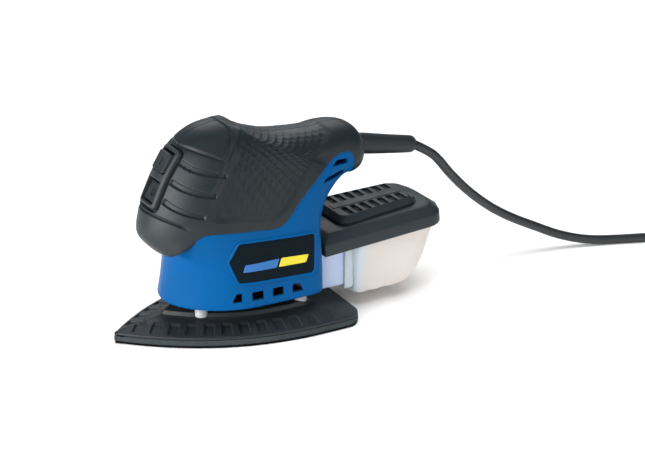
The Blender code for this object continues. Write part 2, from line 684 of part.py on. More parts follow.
def make_lid():
    outer = lid_outline(0, LID_LENGTH, LID_FRONT_HALF, LID_REAR_HALF, 12, 1.6)
    top = shrunk(outer, 6.0)
    lid = loft("dust_lid", [box_ring(outer, 0), box_ring(outer, LID_BAND),
                            box_ring(top, LID_TOP)], BLACK)
    plateau = lid_outline(17, 76, 19.4, 15.8, 9, 1.0)
    raised = loft("lid_plateau", [box_ring(plateau, LID_TOP - 1), box_ring(plateau, 14.6),
                                  box_ring(shrunk(plateau, 2.0), PLATEAU_TOP)])
    combine(lid, "UNION", raised)
    hollow = shrunk(outer, 1.8)
    cut(lid, loft("lid_hollow", [box_ring(hollow, -5), box_ring(hollow, 5.8),
                                 box_ring(shrunk(outer, 7.4), 9.6)]))
    cut(lid, loft("plateau_hollow", [box_ring(shrunk(plateau, 1.8), 5),
                                     box_ring(shrunk(plateau, 1.9), 13.2),
                                     box_ring(shrunk(plateau, 3.2), 14.3)]))
    for i in range(7):
        for side, word in ((-1, "left"), (1, "right")):
            start = 25.6 + 6.2 * i
            inner, outer_edge = 3.6, 14.8 - 0.4 * i
            slot = [(start, side * inner), (start + 3.8, side * inner),
                    (start + 3.8, side * outer_edge), (start, side * outer_edge)]
            cut(lid, loft(f"{word}_lid_slot_{i}", [box_ring(slot, 11.6), box_ring(slot, 20)]))
    return lid


def bin_outline(front, rear, half, corner):
    points = []
    for cx, sx in ((rear - corner, 1), (front + corner * 0.5, -1)):
        size = corner if sx > 0 else corner * 0.5
        for i in range(4):
            angle = math.radians(30 * i)
            across = half - size * (1 - math.sin(angle)) if sx > 0 else half - size * (
                1 - math.cos(angle))
            reach = size * math.cos(angle) if sx > 0 else size * math.sin(angle)
            points.append((cx + sx * reach, across))
    return points + [(x, -y) for x, y in reversed(points)]


def make_bin():
    """The cup: near-vertical front, slanted rear, rounded lower edges, open at the top."""
    levels = (  # front x, rear x, half-width, corner, height of the front and of the rear
        (76.5, 108.5, 20.2, 9.0, 7.9, 8.4),
        (73.8, 115.0, 22.4, 10.0, 9.8, 10.8),
        (72.4, 122.0, 24.0, 11.0, 16.0, 17.4),
        (71.2, 131.4, 27.0, 12.0, 41.0, 45.2),
    )

    def rings(inset, extra):
        made = []
        for i, (front, rear, half, corner, z_front, z_rear) in enumerate(levels):
            outline = bin_outline(front + inset, rear - inset, half - inset, corner)
            slope = (z_rear - z_front) / (rear - front)
            lift = extra[i]
            made.append([(x, y, z_front + slope * (x - front) + lift) for x, y in outline])
        return made

    cup = loft("dust_bin", rings(0, (0, 0, 0, 0)), MILKY)
    cut(cup, loft("bin_hollow", rings(BIN_WALL, (BIN_WALL, BIN_WALL, 0.8, 4))))
    doorway = box("bin_doorway", (60, -9.0, 27.5), (76, 9.0, 35.8))
    cut(cup, doorway)
    return cup


def make_neck():
    """The duct from the housing's outlet to the cup, with a tongue that plugs in."""
    neck = box("dust_neck", (NECK_FRONT, -NECK_HALF, 16.2), (70.9, NECK_HALF, 39.6), MILKY)
    tongue = box("neck_tongue", (41.0, -12.0, 25.4), (55.0, 12.0, 38.0))
    duct = box("neck_duct", (30.0, -10.2, 27.2), (80.0, 10.2, 36.2))
    combine(neck, "UNION", tongue)
    cut(neck, duct)
    return neck


def make_filter():
    outline = lid_outline(24, 72, 21.5, 19.5, 8, 0.5)
    loft("dust_filter", [box_ring(outline, 1.0), box_ring(outline, 3.6)], PAPER)


# ---------------------------------------------------------------- cord

def make_strain_relief():
    """A tapered sleeve that droops slightly, fixed in the handle's end wall."""
    points, tapers = [], []
    for i in range(9):
        distance = -12 + 50.2 * i / 8
        droop = 0.0016 * max(0.0, distance) ** 2
        points.append(strain_axis(distance) - Vector((0, 0, droop * 0.4)))
        tapers.append(1.0 if distance < 2 else 1.0 - 0.30 * (distance - 2) / 36)
    tube("strain_relief", points, 6.4, BLACK, sides=3, tapers=tapers)
    box("cord_clamp", (68.0, -9.0, 93.0), (74.5, 9.0, 96.4), CREAM, bevel=0.6)


def make_cord():
    route = smooth_path(CORD_ROUTE, CORD_POINTS)
    tube("cord", route, CORD_R, BLACK, sides=3)
    cx, cy = COIL_CENTRE
    half_band = COIL_COLUMNS * CORD_R + 0.15
    high = 2 * COIL_LAYERS * CORD_R + 0.2
    inner, outer, edge = COIL_MID_R - half_band, COIL_MID_R + half_band, 1.6
    profile = ((inner + edge, high), (outer - edge, high), (outer, high - edge), (outer, edge),
               (outer - edge, 0), (inner + edge, 0), (inner, edge), (inner, high - edge))
    turned("cord_coil", profile, BLACK, (cx, cy), 32, ring=True)
    outer_turn = COIL_MID_R + (COIL_COLUMNS - 1) * CORD_R
    leave = Vector((cx, cy)) + outer_turn * Vector((math.cos(TAIL_ANGLE), math.sin(TAIL_ANGLE)))
    heading = Vector((-math.sin(TAIL_ANGLE), math.cos(TAIL_ANGLE)))
    clear = math.sqrt((outer + CORD_R + GAP) ** 2 - outer_turn ** 2)
    tail = []
    for distance, z in ((clear, 9.1), (clear + 7, 9.4), (clear + 14, 9.5)):
        spot = leave + heading * distance
        tail.append((spot.x, spot.y, z))
    tube("cord_tail", tail, CORD_R, BLACK, sides=3)
    make_plug(leave + heading * (clear + 14 + GAP), heading)


def make_plug(entry, heading):
    """A three-pin plug on its back with the pins up, its cord entry facing the coil."""
    length, wide, thick = PLUG_SIZE
    across = Vector((-heading.y, heading.x))
    frame = ((entry.x, entry.y, 0), (heading.x, heading.y, 0), (across.x, across.y, 0), (0, 0, 1))
    boot = 11.0
    narrow, corner = wide * 0.30, 6.0
    outline = [(boot, -narrow), (boot + 12, -wide / 2), (boot + length - corner, -wide / 2),
               (boot + length - 1.8, -wide / 2 + 1.8), (boot + length, -wide / 2 + corner)]
    outline += [(a, -b) for a, b in reversed(outline)]
    body = prism("plug_body", outline, frame, 0.2, thick, BLACK)
    soften(body, 1.6)
    rings = []
    for a, radius in ((0, 5.0), (boot + 4, 6.6)):
        spot = Vector((entry.x, entry.y, 9.5)) + Vector((heading.x, heading.y, 0)) * a
        side = Vector((across.x, across.y, 0))
        rings.append([spot + side * radius * math.cos(math.tau * i / 14)
                      + Vector((0, 0, radius * math.sin(math.tau * i / 14))) for i in range(14)])
    combine(body, "UNION", loft("plug_boot", rings))
    pins = (("earth_pin", boot + 34.6, 0, 8.0, 4.0, 22.7),
            ("live_pin", boot + 12.4, 11.1, 4.0, 6.35, 17.7),
            ("neutral_pin", boot + 12.4, -11.1, 4.0, 6.35, 17.7))
    for name, a, b, long_a, long_b, tall in pins:
        flat = [(a + u, b + v) for u, v in rounded_rectangle(long_a, long_b, 0.4, 1)]
        seat = [(a + u, b + v) for u, v in
                rounded_rectangle(long_a + 2 * GAP, long_b + 2 * GAP, 0.4, 1)]
        cut(body, prism(f"{name}_seat", seat, frame, thick - 4, thick + 30))
        prism(name, flat, frame, thick - 4 + GAP, thick + tall, BRASS)


# ---------------------------------------------------------------- assembly

clear_scene()
PARTS = collection("mouse_sander")
CUTTERS = collection("cutters", hidden=True)
make_housing(make_cutters())
make_switch()
make_motor()
make_eccentric()
make_sole()
make_lid()
make_bin()
make_neck()
make_filter()
make_strain_relief()
make_cord()
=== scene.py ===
"""The looks of a detail mouse sander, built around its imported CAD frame.

Lengths are in millimetres and become metres where a mesh is made. The frame is the CAD's: the
origin on the spindle's axis at the sanding face, -X to the nose, -Y to the left side, +Z up.
"""

import json
import math

import bmesh
import bpy
import numpy as np
from mathutils import Matrix, Vector
from mathutils.bvhtree import BVHTree

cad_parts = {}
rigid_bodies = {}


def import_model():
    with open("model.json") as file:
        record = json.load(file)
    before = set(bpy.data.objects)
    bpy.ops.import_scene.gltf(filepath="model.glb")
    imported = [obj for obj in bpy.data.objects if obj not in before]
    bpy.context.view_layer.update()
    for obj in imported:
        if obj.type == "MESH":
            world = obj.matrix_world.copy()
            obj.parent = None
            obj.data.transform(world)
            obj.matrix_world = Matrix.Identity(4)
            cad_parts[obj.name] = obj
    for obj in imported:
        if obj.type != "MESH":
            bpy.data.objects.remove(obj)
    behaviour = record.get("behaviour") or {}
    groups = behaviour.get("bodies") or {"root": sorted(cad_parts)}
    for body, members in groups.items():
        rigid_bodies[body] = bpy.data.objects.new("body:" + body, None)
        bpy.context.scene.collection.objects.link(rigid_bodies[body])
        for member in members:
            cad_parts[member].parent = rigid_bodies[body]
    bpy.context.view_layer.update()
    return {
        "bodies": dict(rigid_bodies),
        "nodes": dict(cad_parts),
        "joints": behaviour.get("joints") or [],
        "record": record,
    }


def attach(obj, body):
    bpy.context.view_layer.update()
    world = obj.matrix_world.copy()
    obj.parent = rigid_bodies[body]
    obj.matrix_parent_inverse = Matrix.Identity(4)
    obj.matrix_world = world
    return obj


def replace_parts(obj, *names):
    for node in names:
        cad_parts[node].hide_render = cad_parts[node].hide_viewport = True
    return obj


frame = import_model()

MM = 0.001
SEED = 7

# Body: each row runs from an inner point to an outer point of the side view, with its half-width
# and the squareness of its inner and outer end. (x, z, x, z, half, inner, outer)
BODY_SECTIONS = (
    (48.6, 21.5, -42.2, 21.5, 37.3, 9.0, 1.95),
    (48.6, 36.0, -39.6, 36.0, 36.6, 9.0, 1.95),
    (48.8, 49.0, -38.3, 49.0, 35.8, 8.0, 2.00),
    (49.6, 57.0, -47.6, 55.4, 35.3, 6.5, 2.50),
    (51.4, 65.0, -53.6, 65.0, 35.0, 5.5, 2.00),
    (54.2, 70.8, -51.5, 75.6, 34.6, 4.8, 2.06),
    (58.0, 75.4, -46.6, 87.3, 33.8, 4.2, 2.13),
    (62.5, 78.6, -39.6, 101.0, 32.6, 3.7, 2.14),
    (66.5, 80.6, -28.7, 115.4, 30.8, 3.4, 2.16),
    (70.0, 81.8, -15.4, 122.3, 28.8, 3.2, 2.16),
    (73.0, 82.4, -3.2, 124.1, 27.0, 3.0, 2.12),
    (75.5, 82.8, 11.4, 118.4, 25.4, 2.9, 2.18),
    (77.8, 83.2, 30.0, 113.4, 24.0, 2.8, 2.30),
    (80.0, 83.8, 52.0, 112.2, 22.6, 2.7, 2.30),
    (82.0, 84.8, 68.2, 112.5, 20.8, 2.6, 2.35),
    (84.0, 87.0, 79.6, 110.2, 16.8, 2.5, 2.40),
    (85.4, 90.5, 84.2, 104.0, 10.6, 2.4, 2.40),
    (86.0, 96.0, 85.9, 96.6, 1.2, 2.0, 2.00),
)
# The blue shell's front runs straight up behind the grip's chin.
BLUE_SECTIONS = (
    *BODY_SECTIONS[:3],
    (49.6, 57.0, -42.0, 56.8, 35.3, 6.5, 2.15),
    (51.4, 65.0, -49.6, 65.0, 35.0, 5.5, 2.10),
    *BODY_SECTIONS[5:],
)

# Cord: its free stretch, and the coil beside it, as in the CAD.
CORD_R, CORD_LENGTH = 2.9, 1820.0
CORD_ROUTE = (
    (127.6, 0, 87.9), (141.6, 0, 78.9), (154.6, 0, 64.0), (168.4, 0, 50.2), (185.0, 0, 36.9),
    (201.0, -0.6, 27.0), (218.0, -1.8, 18.4), (236.5, -4.4, 9.8), (256.0, -8.8, 4.3),
    (277.0, -15.6, 2.95), (303.0, -25.2, 2.95), (331.0, -35.7, 2.95),
)
COIL_CENTRE, COIL_MID_R = (367.8, -5.0), 33.0
COIL_COLUMNS, COIL_LOW, COIL_HIGH = 4, 2.95, 8.75
COIL_ENTRY = -110.6  # degrees about the coil's centre
COIL_MOVE = 90.0  # degrees that the cord takes to shift by one place
COIL_TURNS, COIL_GAP = 7, 0.15
TAIL_ANGLE, TAIL_Z, TAIL_RUN = -20.0, 9.5, 14.3
STRAIN_START, STRAIN_AXIS = (89.0, 0.0, 95.2), (0.981, 0.0, -0.19)


# ---------------------------------------------------------------- small helpers

def curve_through(points, steps=10):
    """Points along the smooth curve through the given ones."""
    points = [np.array(p, float) for p in points]
    points = [2 * points[0] - points[1], *points, 2 * points[-1] - points[-2]]
    fine = []
    for a, b, c, d in zip(points, points[1:], points[2:], points[3:]):
        for t in np.arange(steps) / steps:
            fine.append(0.5 * (2 * b + (c - a) * t + (2 * a - 5 * b + 4 * c - d) * t ** 2
                               + (3 * b - a - 3 * c + d) * t ** 3))
    return np.array(fine + [points[-2]])


def travelled(points):
    """How far along a polyline each of its points lies."""
    return np.concatenate([[0], np.cumsum(np.linalg.norm(np.diff(points, axis=0), axis=1))])


def resampled(points, along, wanted):
    """A polyline's points at the wanted distances along it."""
    return np.stack([np.interp(wanted, along, column) for column in points.T], -1)


def even_steps(points, spacing):
    """The polyline's points at about that spacing."""
    points = np.asarray(points, float)
    along = travelled(points)
    count = max(2, round(along[-1] / spacing) + 1)
    return resampled(points, along, np.linspace(0, along[-1], count))


def ring_of(outline, spacing):
    """A closed outline's points at an even spacing."""
    outline = np.asarray(outline, float)
    return even_steps(np.vstack([outline, outline[:1]]), spacing)[:-1]


def smoothstep(low, high, value):
    """Rises from 0 at low to 1 at high, or falls where high is below low."""
    t = np.clip((value - low) / (high - low), 0, 1)
    return t * t * (3 - 2 * t)


def new_object(name, data, material):
    """An object in the scene with its material."""
    obj = bpy.data.objects.new(name, data)
    if material:
        data.materials.append(material)
    bpy.context.scene.collection.objects.link(obj)
    return obj


def make_piece(name, vertices, faces, material=None, sharp=40.0):
    """A mesh object from millimetre points, smooth but for edges sharper than an angle."""
    data = bpy.data.meshes.new(name)
    points = np.asarray(vertices, float) * MM
    data.from_pydata(points.tolist(), [], [list(map(int, f)) for f in faces])
    data.update()
    return shaded(new_object(name, data, material), sharp)


def shaded(obj, sharp=40.0):
    """The object, smooth but for edges sharper than an angle in degrees."""
    obj.data.shade_smooth()
    if sharp < 180:
        obj.data.set_sharp_from_angle(angle=math.radians(sharp))
    return obj


def from_bmesh(name, bm, material=None, sharp=40.0):
    """A mesh object from a bmesh in millimetres, its normals outwards."""
    bmesh.ops.recalc_face_normals(bm, faces=bm.faces)
    bmesh.ops.scale(bm, vec=(MM, MM, MM), verts=bm.verts)
    data = bpy.data.meshes.new(name)
    bm.to_mesh(data)
    bm.free()
    return shaded(new_object(name, data, material), sharp)


def loft(name, rings, material=None, sharp=40.0):
    """A closed skin over rings of equal point count, capped at both ends."""
    bm = bmesh.new()
    rows = [[bm.verts.new(p) for p in ring] for ring in rings]
    for lower, upper in zip(rows, rows[1:]):
        for i in range(len(lower)):
            j = (i + 1) % len(lower)
            bm.faces.new((lower[i], lower[j], upper[j], upper[i]))
    bm.faces.new(rows[0])
    bm.faces.new(rows[-1])
    return from_bmesh(name, bm, material, sharp)


def prism(name, outline, axes, low, high, material=None, sharp=40.0):
    """An outline of (u, v) carried from low to high along the third of the given axes."""
    origin, u, v, w = (np.array(a, float) for a in axes)
    base = np.array([origin + u * a + v * b for a, b in outline])
    return loft(name, [base + w * low, base + w * high], material, sharp)


SIDE_VIEW = ((0, 0, 0), (1, 0, 0), (0, 0, 1), (0, 1, 0))
PLAN_VIEW = ((0, 0, 0), (1, 0, 0), (0, 1, 0), (0, 0, 1))
REAR_VIEW = ((0, 0, 0), (0, 1, 0), (0, 0, 1), (1, 0, 0))


def block(name, low, high, material=None):
    """A box between two opposite corners."""
    outline = ((low[0], low[1]), (high[0], low[1]), (high[0], high[1]), (low[0], high[1]))
    return prism(name, outline, PLAN_VIEW, low[2], high[2], material)


def looped(name, rings, material=None, sharp=40.0):
    """A closed band through rings of equal point count, the last joined to the first."""
    bm = bmesh.new()
    rows = [[bm.verts.new(p) for p in ring] for ring in rings]
    for lower, upper in zip(rows, rows[1:] + rows[:1]):
        for i in range(len(lower)):
            j = (i + 1) % len(lower)
            bm.faces.new((lower[i], lower[j], upper[j], upper[i]))
    return from_bmesh(name, bm, material, sharp)


def rod(radius, low, high):
    """The profile of a plain cylinder."""
    return ((0, low), (radius, low), (radius, high), (0, high))


def turned(name, profile, material=None, centre=(0, 0, 0), axis=(0, 0, 1), steps=48, sharp=40.0):
    """A closed profile of (radius, height) turned about an axis through centre."""
    axis = Vector(axis).normalized()
    turn = Vector((0, 0, 1)).rotation_difference(axis).to_matrix()
    bm = bmesh.new()
    columns = []
    for i in range(steps):
        angle = math.tau * i / steps
        columns.append([
            bm.verts.new(Vector(centre) + turn @ Vector((r * math.cos(angle),
                                                         r * math.sin(angle), h)))
            for r, h in profile])
    count = len(profile)
    for i, column in enumerate(columns):
        after = columns[(i + 1) % steps]
        for k in range(count):
            m = (k + 1) % count
            if profile[k][0] < 1e-6 and profile[m][0] < 1e-6:
                continue
            bm.faces.new((column[k], column[m], after[m], after[k]))
    bmesh.ops.remove_doubles(bm, verts=bm.verts, dist=1e-5)
    return from_bmesh(name, bm, material, sharp)


def apply_modifiers(obj):
    """The object's mesh becomes what its modifiers make of it."""
    bpy.context.view_layer.update()
    graph = bpy.context.evaluated_depsgraph_get()
    made = bpy.data.meshes.new_from_object(obj.evaluated_get(graph))
    obj.modifiers.clear()
    obj.data = made
    return obj


def boolean(obj, operation, others, sharp=40.0):
    """The object after an exact boolean with the others, which are used up."""
    for other in others:
        step = obj.modifiers.new(other.name, "BOOLEAN")
        step.operation, step.solver, step.object = operation, "EXACT", other
    apply_modifiers(obj)
    for other in others:
        bpy.data.objects.remove(other)
    return shaded(obj, sharp)


def cut(obj, *others, sharp=40.0):
    """The object without the space that the others fill."""
    return boolean(obj, "DIFFERENCE", others, sharp)


def join(obj, *others, sharp=40.0):
    """The object in one solid with the others."""
    return boolean(obj, "UNION", others, sharp)


def gather(obj, *others):
    """Others' meshes put into obj's mesh, with their materials."""
    for other in others:
        slots = []
        for material in other.data.materials:
            if material.name not in obj.data.materials:
                obj.data.materials.append(material)
            slots.append(obj.data.materials.find(material.name))
        bm = bmesh.new()
        bm.from_mesh(obj.data)
        seen = len(bm.faces)
        bm.from_mesh(other.data)
        bm.faces.ensure_lookup_table()
        for face in bm.faces[seen:]:
            face.material_index = slots[face.material_index] if slots else 0
        bm.to_mesh(obj.data)
        bm.free()
        bpy.data.objects.remove(other)
    return obj


def rounded_rectangle(wide, tall, corner, steps=6, middle=(0, 0)):
    """The outline of a rectangle with round corners, about its middle."""
    points = []
    for turn, (sx, sy) in enumerate(((1, 1), (-1, 1), (-1, -1), (1, -1))):
        for i in range(steps + 1):
            angle = math.radians(90 * (turn + i / steps))
            points.append((sx * (wide / 2 - corner) + corner * math.cos(angle),
                           sy * (tall / 2 - corner) + corner * math.sin(angle)))
    return np.array(points) + middle


def rounded_outline(corners, radius, steps=5):
    """A polygon with its corners rounded."""
    corners = [np.array(p, float) for p in corners]
    points = []
    for before, here, after in zip(corners[-1:] + corners[:-1], corners, corners[1:] + corners[:1]):
        into = (before - here) / np.linalg.norm(before - here)
        out = (after - here) / np.linalg.norm(after - here)
        half = math.acos(np.clip(into @ out, -1, 1)) / 2
        reach = min(radius / math.tan(half), 0.45 * np.linalg.norm(before - here),
                    0.45 * np.linalg.norm(after - here))
        for t in np.arange(steps + 1) / steps:
            start, end = here + into * reach, here + out * reach
            points.append((1 - t) ** 2 * start + 2 * t * (1 - t) * here + t ** 2 * end)
    return np.array(points)


def grown(outline, by):
    """The closed outline moved outwards by a distance."""
    points = np.asarray(outline, float)
    before, after = np.roll(points, 1, axis=0), np.roll(points, -1, axis=0)
    area = (points[:, 0] * after[:, 1] - after[:, 0] * points[:, 1]).sum()
    into, out = points - before, after - points
    into /= np.linalg.norm(into, axis=1, keepdims=True)
    out /= np.linalg.norm(out, axis=1, keepdims=True)
    normal = np.stack([(into + out)[:, 1], -(into + out)[:, 0]], -1)
    normal /= np.linalg.norm(normal, axis=1, keepdims=True)
    sine = np.abs(normal[:, 0] * into[:, 1] - normal[:, 1] * into[:, 0])
    return points + normal * (by * np.sign(area) / np.maximum(sine, 0.5))[:, None]


def inside_distance(points, outline):
    """How far points of a plane lie inside a closed outline, negative outside it."""
    points, outline = np.asarray(points, float), np.asarray(outline, float)
    best = np.full(points.shape[:-1], 1e9)
    inside = np.zeros(points.shape[:-1], bool)
    x, y = points[..., 0], points[..., 1]
    for a, b in zip(outline, np.roll(outline, -1, axis=0)):
        run = b - a
        t = np.clip(((x - a[0]) * run[0] + (y - a[1]) * run[1]) / max(run @ run, 1e-12), 0, 1)
        best = np.minimum(best, np.hypot(x - a[0] - t * run[0], y - a[1] - t * run[1]))
        if a[1] != b[1]:
            crosses = (a[1] > y) != (b[1] > y)
            inside ^= crosses & (x < run[0] * (y - a[1]) / run[1] + a[0])
    return np.where(inside, best, -best)


def path_distance(points, path):
    """Each point's distance to a polyline in space, and how far along it the nearest spot is."""
    best, along, start = np.full(points.shape[:-1], 1e9), np.zeros(points.shape[:-1]), 0.0
    for a, b in zip(path, path[1:]):
        run = b - a
        length = np.linalg.norm(run)
        t = np.clip((points - a) @ run / length ** 2, 0, 1)
        gap = np.linalg.norm(points - a - t[..., None] * run, axis=-1)
        along = np.where(gap < best, start + t * length, along)
        best = np.minimum(best, gap)
        start += length
    return best, along


# ---------------------------------------------------------------- materials

class Graph:
    """A material's nodes, each added with its inputs in one call."""

    def __init__(self, name, roughness=0.5, metallic=0.0, **sockets):
        self.material = bpy.data.materials.new(name)
        self.material.use_nodes = True
        self.tree = self.material.node_tree
        self.shader = self.tree.nodes["Principled BSDF"]
        self.shader.inputs["Roughness"].default_value = roughness
        self.shader.inputs["Metallic"].default_value = metallic
        for key, value in sockets.items():
            self.shader.inputs[key.replace("_", " ")].default_value = value
        self.where = self.add("ShaderNodeTexCoord").outputs["Object"]

    def add(self, kind, inputs=(), **settings):
        node = self.tree.nodes.new(kind)
        for key, value in settings.items():
            setattr(node, key, value)
        for key, value in dict(inputs).items():
            if isinstance(value, bpy.types.NodeSocket):
                self.tree.links.new(value, node.inputs[key])
            else:
                node.inputs[key].default_value = value
        return node

    def noise(self, scale, detail, where=None, distortion=0.0):
        made = self.add("ShaderNodeTexNoise", {
            "Vector": where or self.where, "Scale": scale, "Detail": detail,
            "Distortion": distortion})
        return made.outputs["Fac"]

    def cells(self, scale):
        made = self.add("ShaderNodeTexVoronoi", {"Vector": self.where, "Scale": scale})
        return made.outputs["Distance"]

    def stretched(self, x, y, z):
        made = self.add("ShaderNodeMapping", {"Vector": self.where, "Scale": (x, y, z)})
        return made.outputs["Vector"]

    def ranged(self, value, low, high, from_low=0.0, from_high=1.0):
        made = self.add("ShaderNodeMapRange", {
            "Value": value, "From Min": from_low, "From Max": from_high, "To Min": low,
            "To Max": high})
        return made.outputs["Result"]

    def maths(self, operation, a, b):
        return self.add("ShaderNodeMath", {0: a, 1: b}, operation=operation).outputs[0]

    def weighed(self, first, second, share):
        """That share of the first value, and the rest from the second."""
        return self.maths("ADD", self.maths("MULTIPLY", first, share),
                          self.maths("MULTIPLY", second, 1 - share))

    def blend(self, amount, first, second):
        made = self.add("ShaderNodeMix", {0: amount, 6: first, 7: second}, data_type="RGBA")
        return made.outputs[2]

    def colour(self, socket):
        self.tree.links.new(socket, self.shader.inputs["Base Color"])

    def rough(self, socket):
        self.tree.links.new(socket, self.shader.inputs["Roughness"])

    def bump(self, height, distance, strength=1.0, below=None):
        inputs = {"Height": height, "Distance": distance, "Strength": strength}
        if below:
            inputs["Normal"] = below
        return self.add("ShaderNodeBump", inputs).outputs["Normal"]

    def finish(self, normal):
        self.tree.links.new(normal, self.shader.inputs["Normal"])
        return self.material


def tint(colour, factor):
    """A colour made lighter or darker, with its alpha."""
    return (*(min(1.0, c * factor) for c in colour), 1.0)


ROUGH_SPREAD = 0.07


def moulded(name, colour, rough, grain, scale, vary, **sockets):
    """Moulded plastic or rubber: broad tone changes, a spark-eroded grain and handling marks."""
    g = Graph(name, rough, **sockets)
    broad, fine = g.noise(22, 4), g.noise(scale, 2)
    scuffs = g.noise(90, 6, g.stretched(1, 1, 3.2), 0.6)
    tone = g.ranged(g.weighed(broad, scuffs, 0.6), 0, 1, 0.3, 0.7)
    g.colour(g.blend(tone, tint(colour, 1 - vary), tint(colour, 1 + vary)))
    worn = g.maths("ADD", scuffs, g.maths("MULTIPLY", fine, 0.5))
    g.rough(g.ranged(worn, rough - ROUGH_SPREAD, rough + ROUGH_SPREAD, 0.45, 1.05))
    low = g.bump(broad, 0.0002, 0.25)
    return g.finish(g.bump(fine, grain, 0.6, low))


# ---------------------------------------------------------------- camera, light and floor

CAMERA_PLACE, CAMERA_AIM, CAMERA_LENS = (-0.4134, -0.8759, 0.4416), (0.06415, 0, 0.0426), 100
LAMPS = (  # name, place, aim, size, power
    ("key", (-1.5, -1.1, 1.15), (-0.02, 0, 0.06), (0.9, 0.9), 6),
    ("front", (-1.3, -0.15, 0.4), (0, 0, 0.08), (1.2, 0.8), 24),
    ("top", (0.15, -0.15, 1.7), (0.05, 0, 0.05), (1.6, 1.2), 34),
    ("side", (0.9, -1.6, 0.75), (0.05, 0, 0.04), (1.0, 0.7), 6),
    ("back", (0.7, 1.6, 1.2), (0.05, 0, 0.05), (1.2, 0.9), 9),
)
WORLD_TINT, WORLD_STRENGTH = (0.93, 0.96, 1.0, 1), 0.14
FLOOR_HALF = 6000


def aimed(place, target):
    """The turn that points a camera or a lamp at a target."""
    return (Vector(target) - Vector(place)).to_track_quat("-Z", "Y").to_euler()


def make_stage():
    """The camera, soft studio light and a plain pale floor."""
    scene = bpy.context.scene
    scene.view_settings.view_transform = "Standard"
    camera = bpy.data.objects.new("camera", bpy.data.cameras.new("camera"))
    camera.data.lens, camera.data.sensor_width = CAMERA_LENS, 36
    camera.location = CAMERA_PLACE
    camera.rotation_euler = aimed(CAMERA_PLACE, CAMERA_AIM)
    camera.data.clip_end = 20
    scene.collection.objects.link(camera)
    scene.camera = camera

    world = bpy.data.worlds.new("studio")
    world.use_nodes = True
    sky = world.node_tree.nodes["Background"].inputs
    sky["Color"].default_value, sky["Strength"].default_value = WORLD_TINT, WORLD_STRENGTH
    scene.world = world

    for name, place, target, size, power in LAMPS:
        lamp = bpy.data.lights.new(name, "AREA")
        lamp.shape, lamp.size, lamp.size_y, lamp.energy = "RECTANGLE", *size, power
        holder = bpy.data.objects.new(name, lamp)
        holder.location = place
        holder.rotation_euler = aimed(place, target)
        holder.visible_glossy = name != "top"  # no bright streak along the cap's ridge
        scene.collection.objects.link(holder)

    g = Graph("pale_floor", 0.75)
    g.colour(g.blend(g.noise(3, 2), (0.93, 0.93, 0.93, 1), (0.96, 0.96, 0.96, 1)))
    pale = g.finish(g.bump(g.noise(400, 2), 0.00003, 0.2))
    corners = [(x * FLOOR_HALF, y * FLOOR_HALF, 0) for x, y in ((-1, -1), (1, -1), (1, 1), (-1, 1))]
    floor = make_piece("floor", corners, [(0, 1, 2, 3)], pale)


# ---------------------------------------------------------------- cord

def coil_points():
    """The cord's way round the coil: the low layer inwards, up, and the high layer outwards."""
    pitch = 2 * CORD_R
    first_r = COIL_MID_R + (COIL_COLUMNS - 1) * CORD_R
    move, entry = COIL_MOVE, COIL_ENTRY
    inward = [entry + 360 * (k + 1) - move for k in range(COIL_COLUMNS - 1)]
    rise = inward[-1] + 360 - move
    outward = [inward[0] + 360 * (k + COIL_COLUMNS) - 2 * move for k in range(COIL_COLUMNS - 1)]
    end = TAIL_ANGLE + 360 * COIL_TURNS

    def moved(angle, starts):
        """How many places the cord has shifted by at an angle, where shifts begin at starts."""
        return sum(float(smoothstep(0, 1, (angle - start) / move)) for start in starts)

    points = []
    for angle in np.arange(entry + 8, end - 3, 6.0):
        radius = first_r - pitch * moved(angle, inward) + pitch * moved(angle, outward)
        z = COIL_LOW + (COIL_HIGH - COIL_LOW) * moved(angle, [rise])
        turn = math.radians(angle)
        points.append((COIL_CENTRE[0] + radius * math.cos(turn),
                       COIL_CENTRE[1] + radius * math.sin(turn), z))
    return points


def tail_points():
    """From the coil's outer turn to the plug's entry."""
    outer = COIL_MID_R + (COIL_COLUMNS - 1) * CORD_R
    band = COIL_MID_R + COIL_COLUMNS * CORD_R + COIL_GAP
    turn = math.radians(TAIL_ANGLE)
    leave = np.array([COIL_CENTRE[0] + outer * math.cos(turn),
                      COIL_CENTRE[1] + outer * math.sin(turn)])
    heading = np.array([-math.sin(turn), math.cos(turn)])
    clear = math.sqrt((band + CORD_R + 0.3) ** 2 - outer ** 2)
    points = [(*(leave + heading * reach), z)
              for reach, z in ((0, COIL_HIGH), (clear / 2, 8.95), (clear, 9.1), (clear + 7, 9.4),
                               (clear + TAIL_RUN, TAIL_Z))]
    return points, leave + heading * (clear + TAIL_RUN), heading


def make_cord(material):
    """The whole cord as one tube. Also returns where and which way it enters the plug."""
    tail, entry, heading = tail_points()
    route = even_steps(curve_through(CORD_ROUTE), 8.0)
    path = even_steps(curve_through([*route, *coil_points(), *tail], 4), 3.0)
    path[:, 2] = np.maximum(path[:, 2], CORD_R + 0.04)
    curve = bpy.data.curves.new("mains_cord", "CURVE")
    curve.dimensions = "3D"
    curve.bevel_depth, curve.bevel_resolution, curve.use_fill_caps = CORD_R * MM, 5, True
    spline = curve.splines.new("POLY")
    spline.points.add(len(path) - 1)
    for point, spot in zip(spline.points, path):
        point.co = (*(spot * MM), 1)
    spline.use_smooth = True
    cord = new_object("mains_cord", curve, material)
    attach(cord, "housing")
    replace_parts(cord, "cord", "cord_coil", "cord_tail")
    return cord, entry, heading


# ---------------------------------------------------------------- body surface

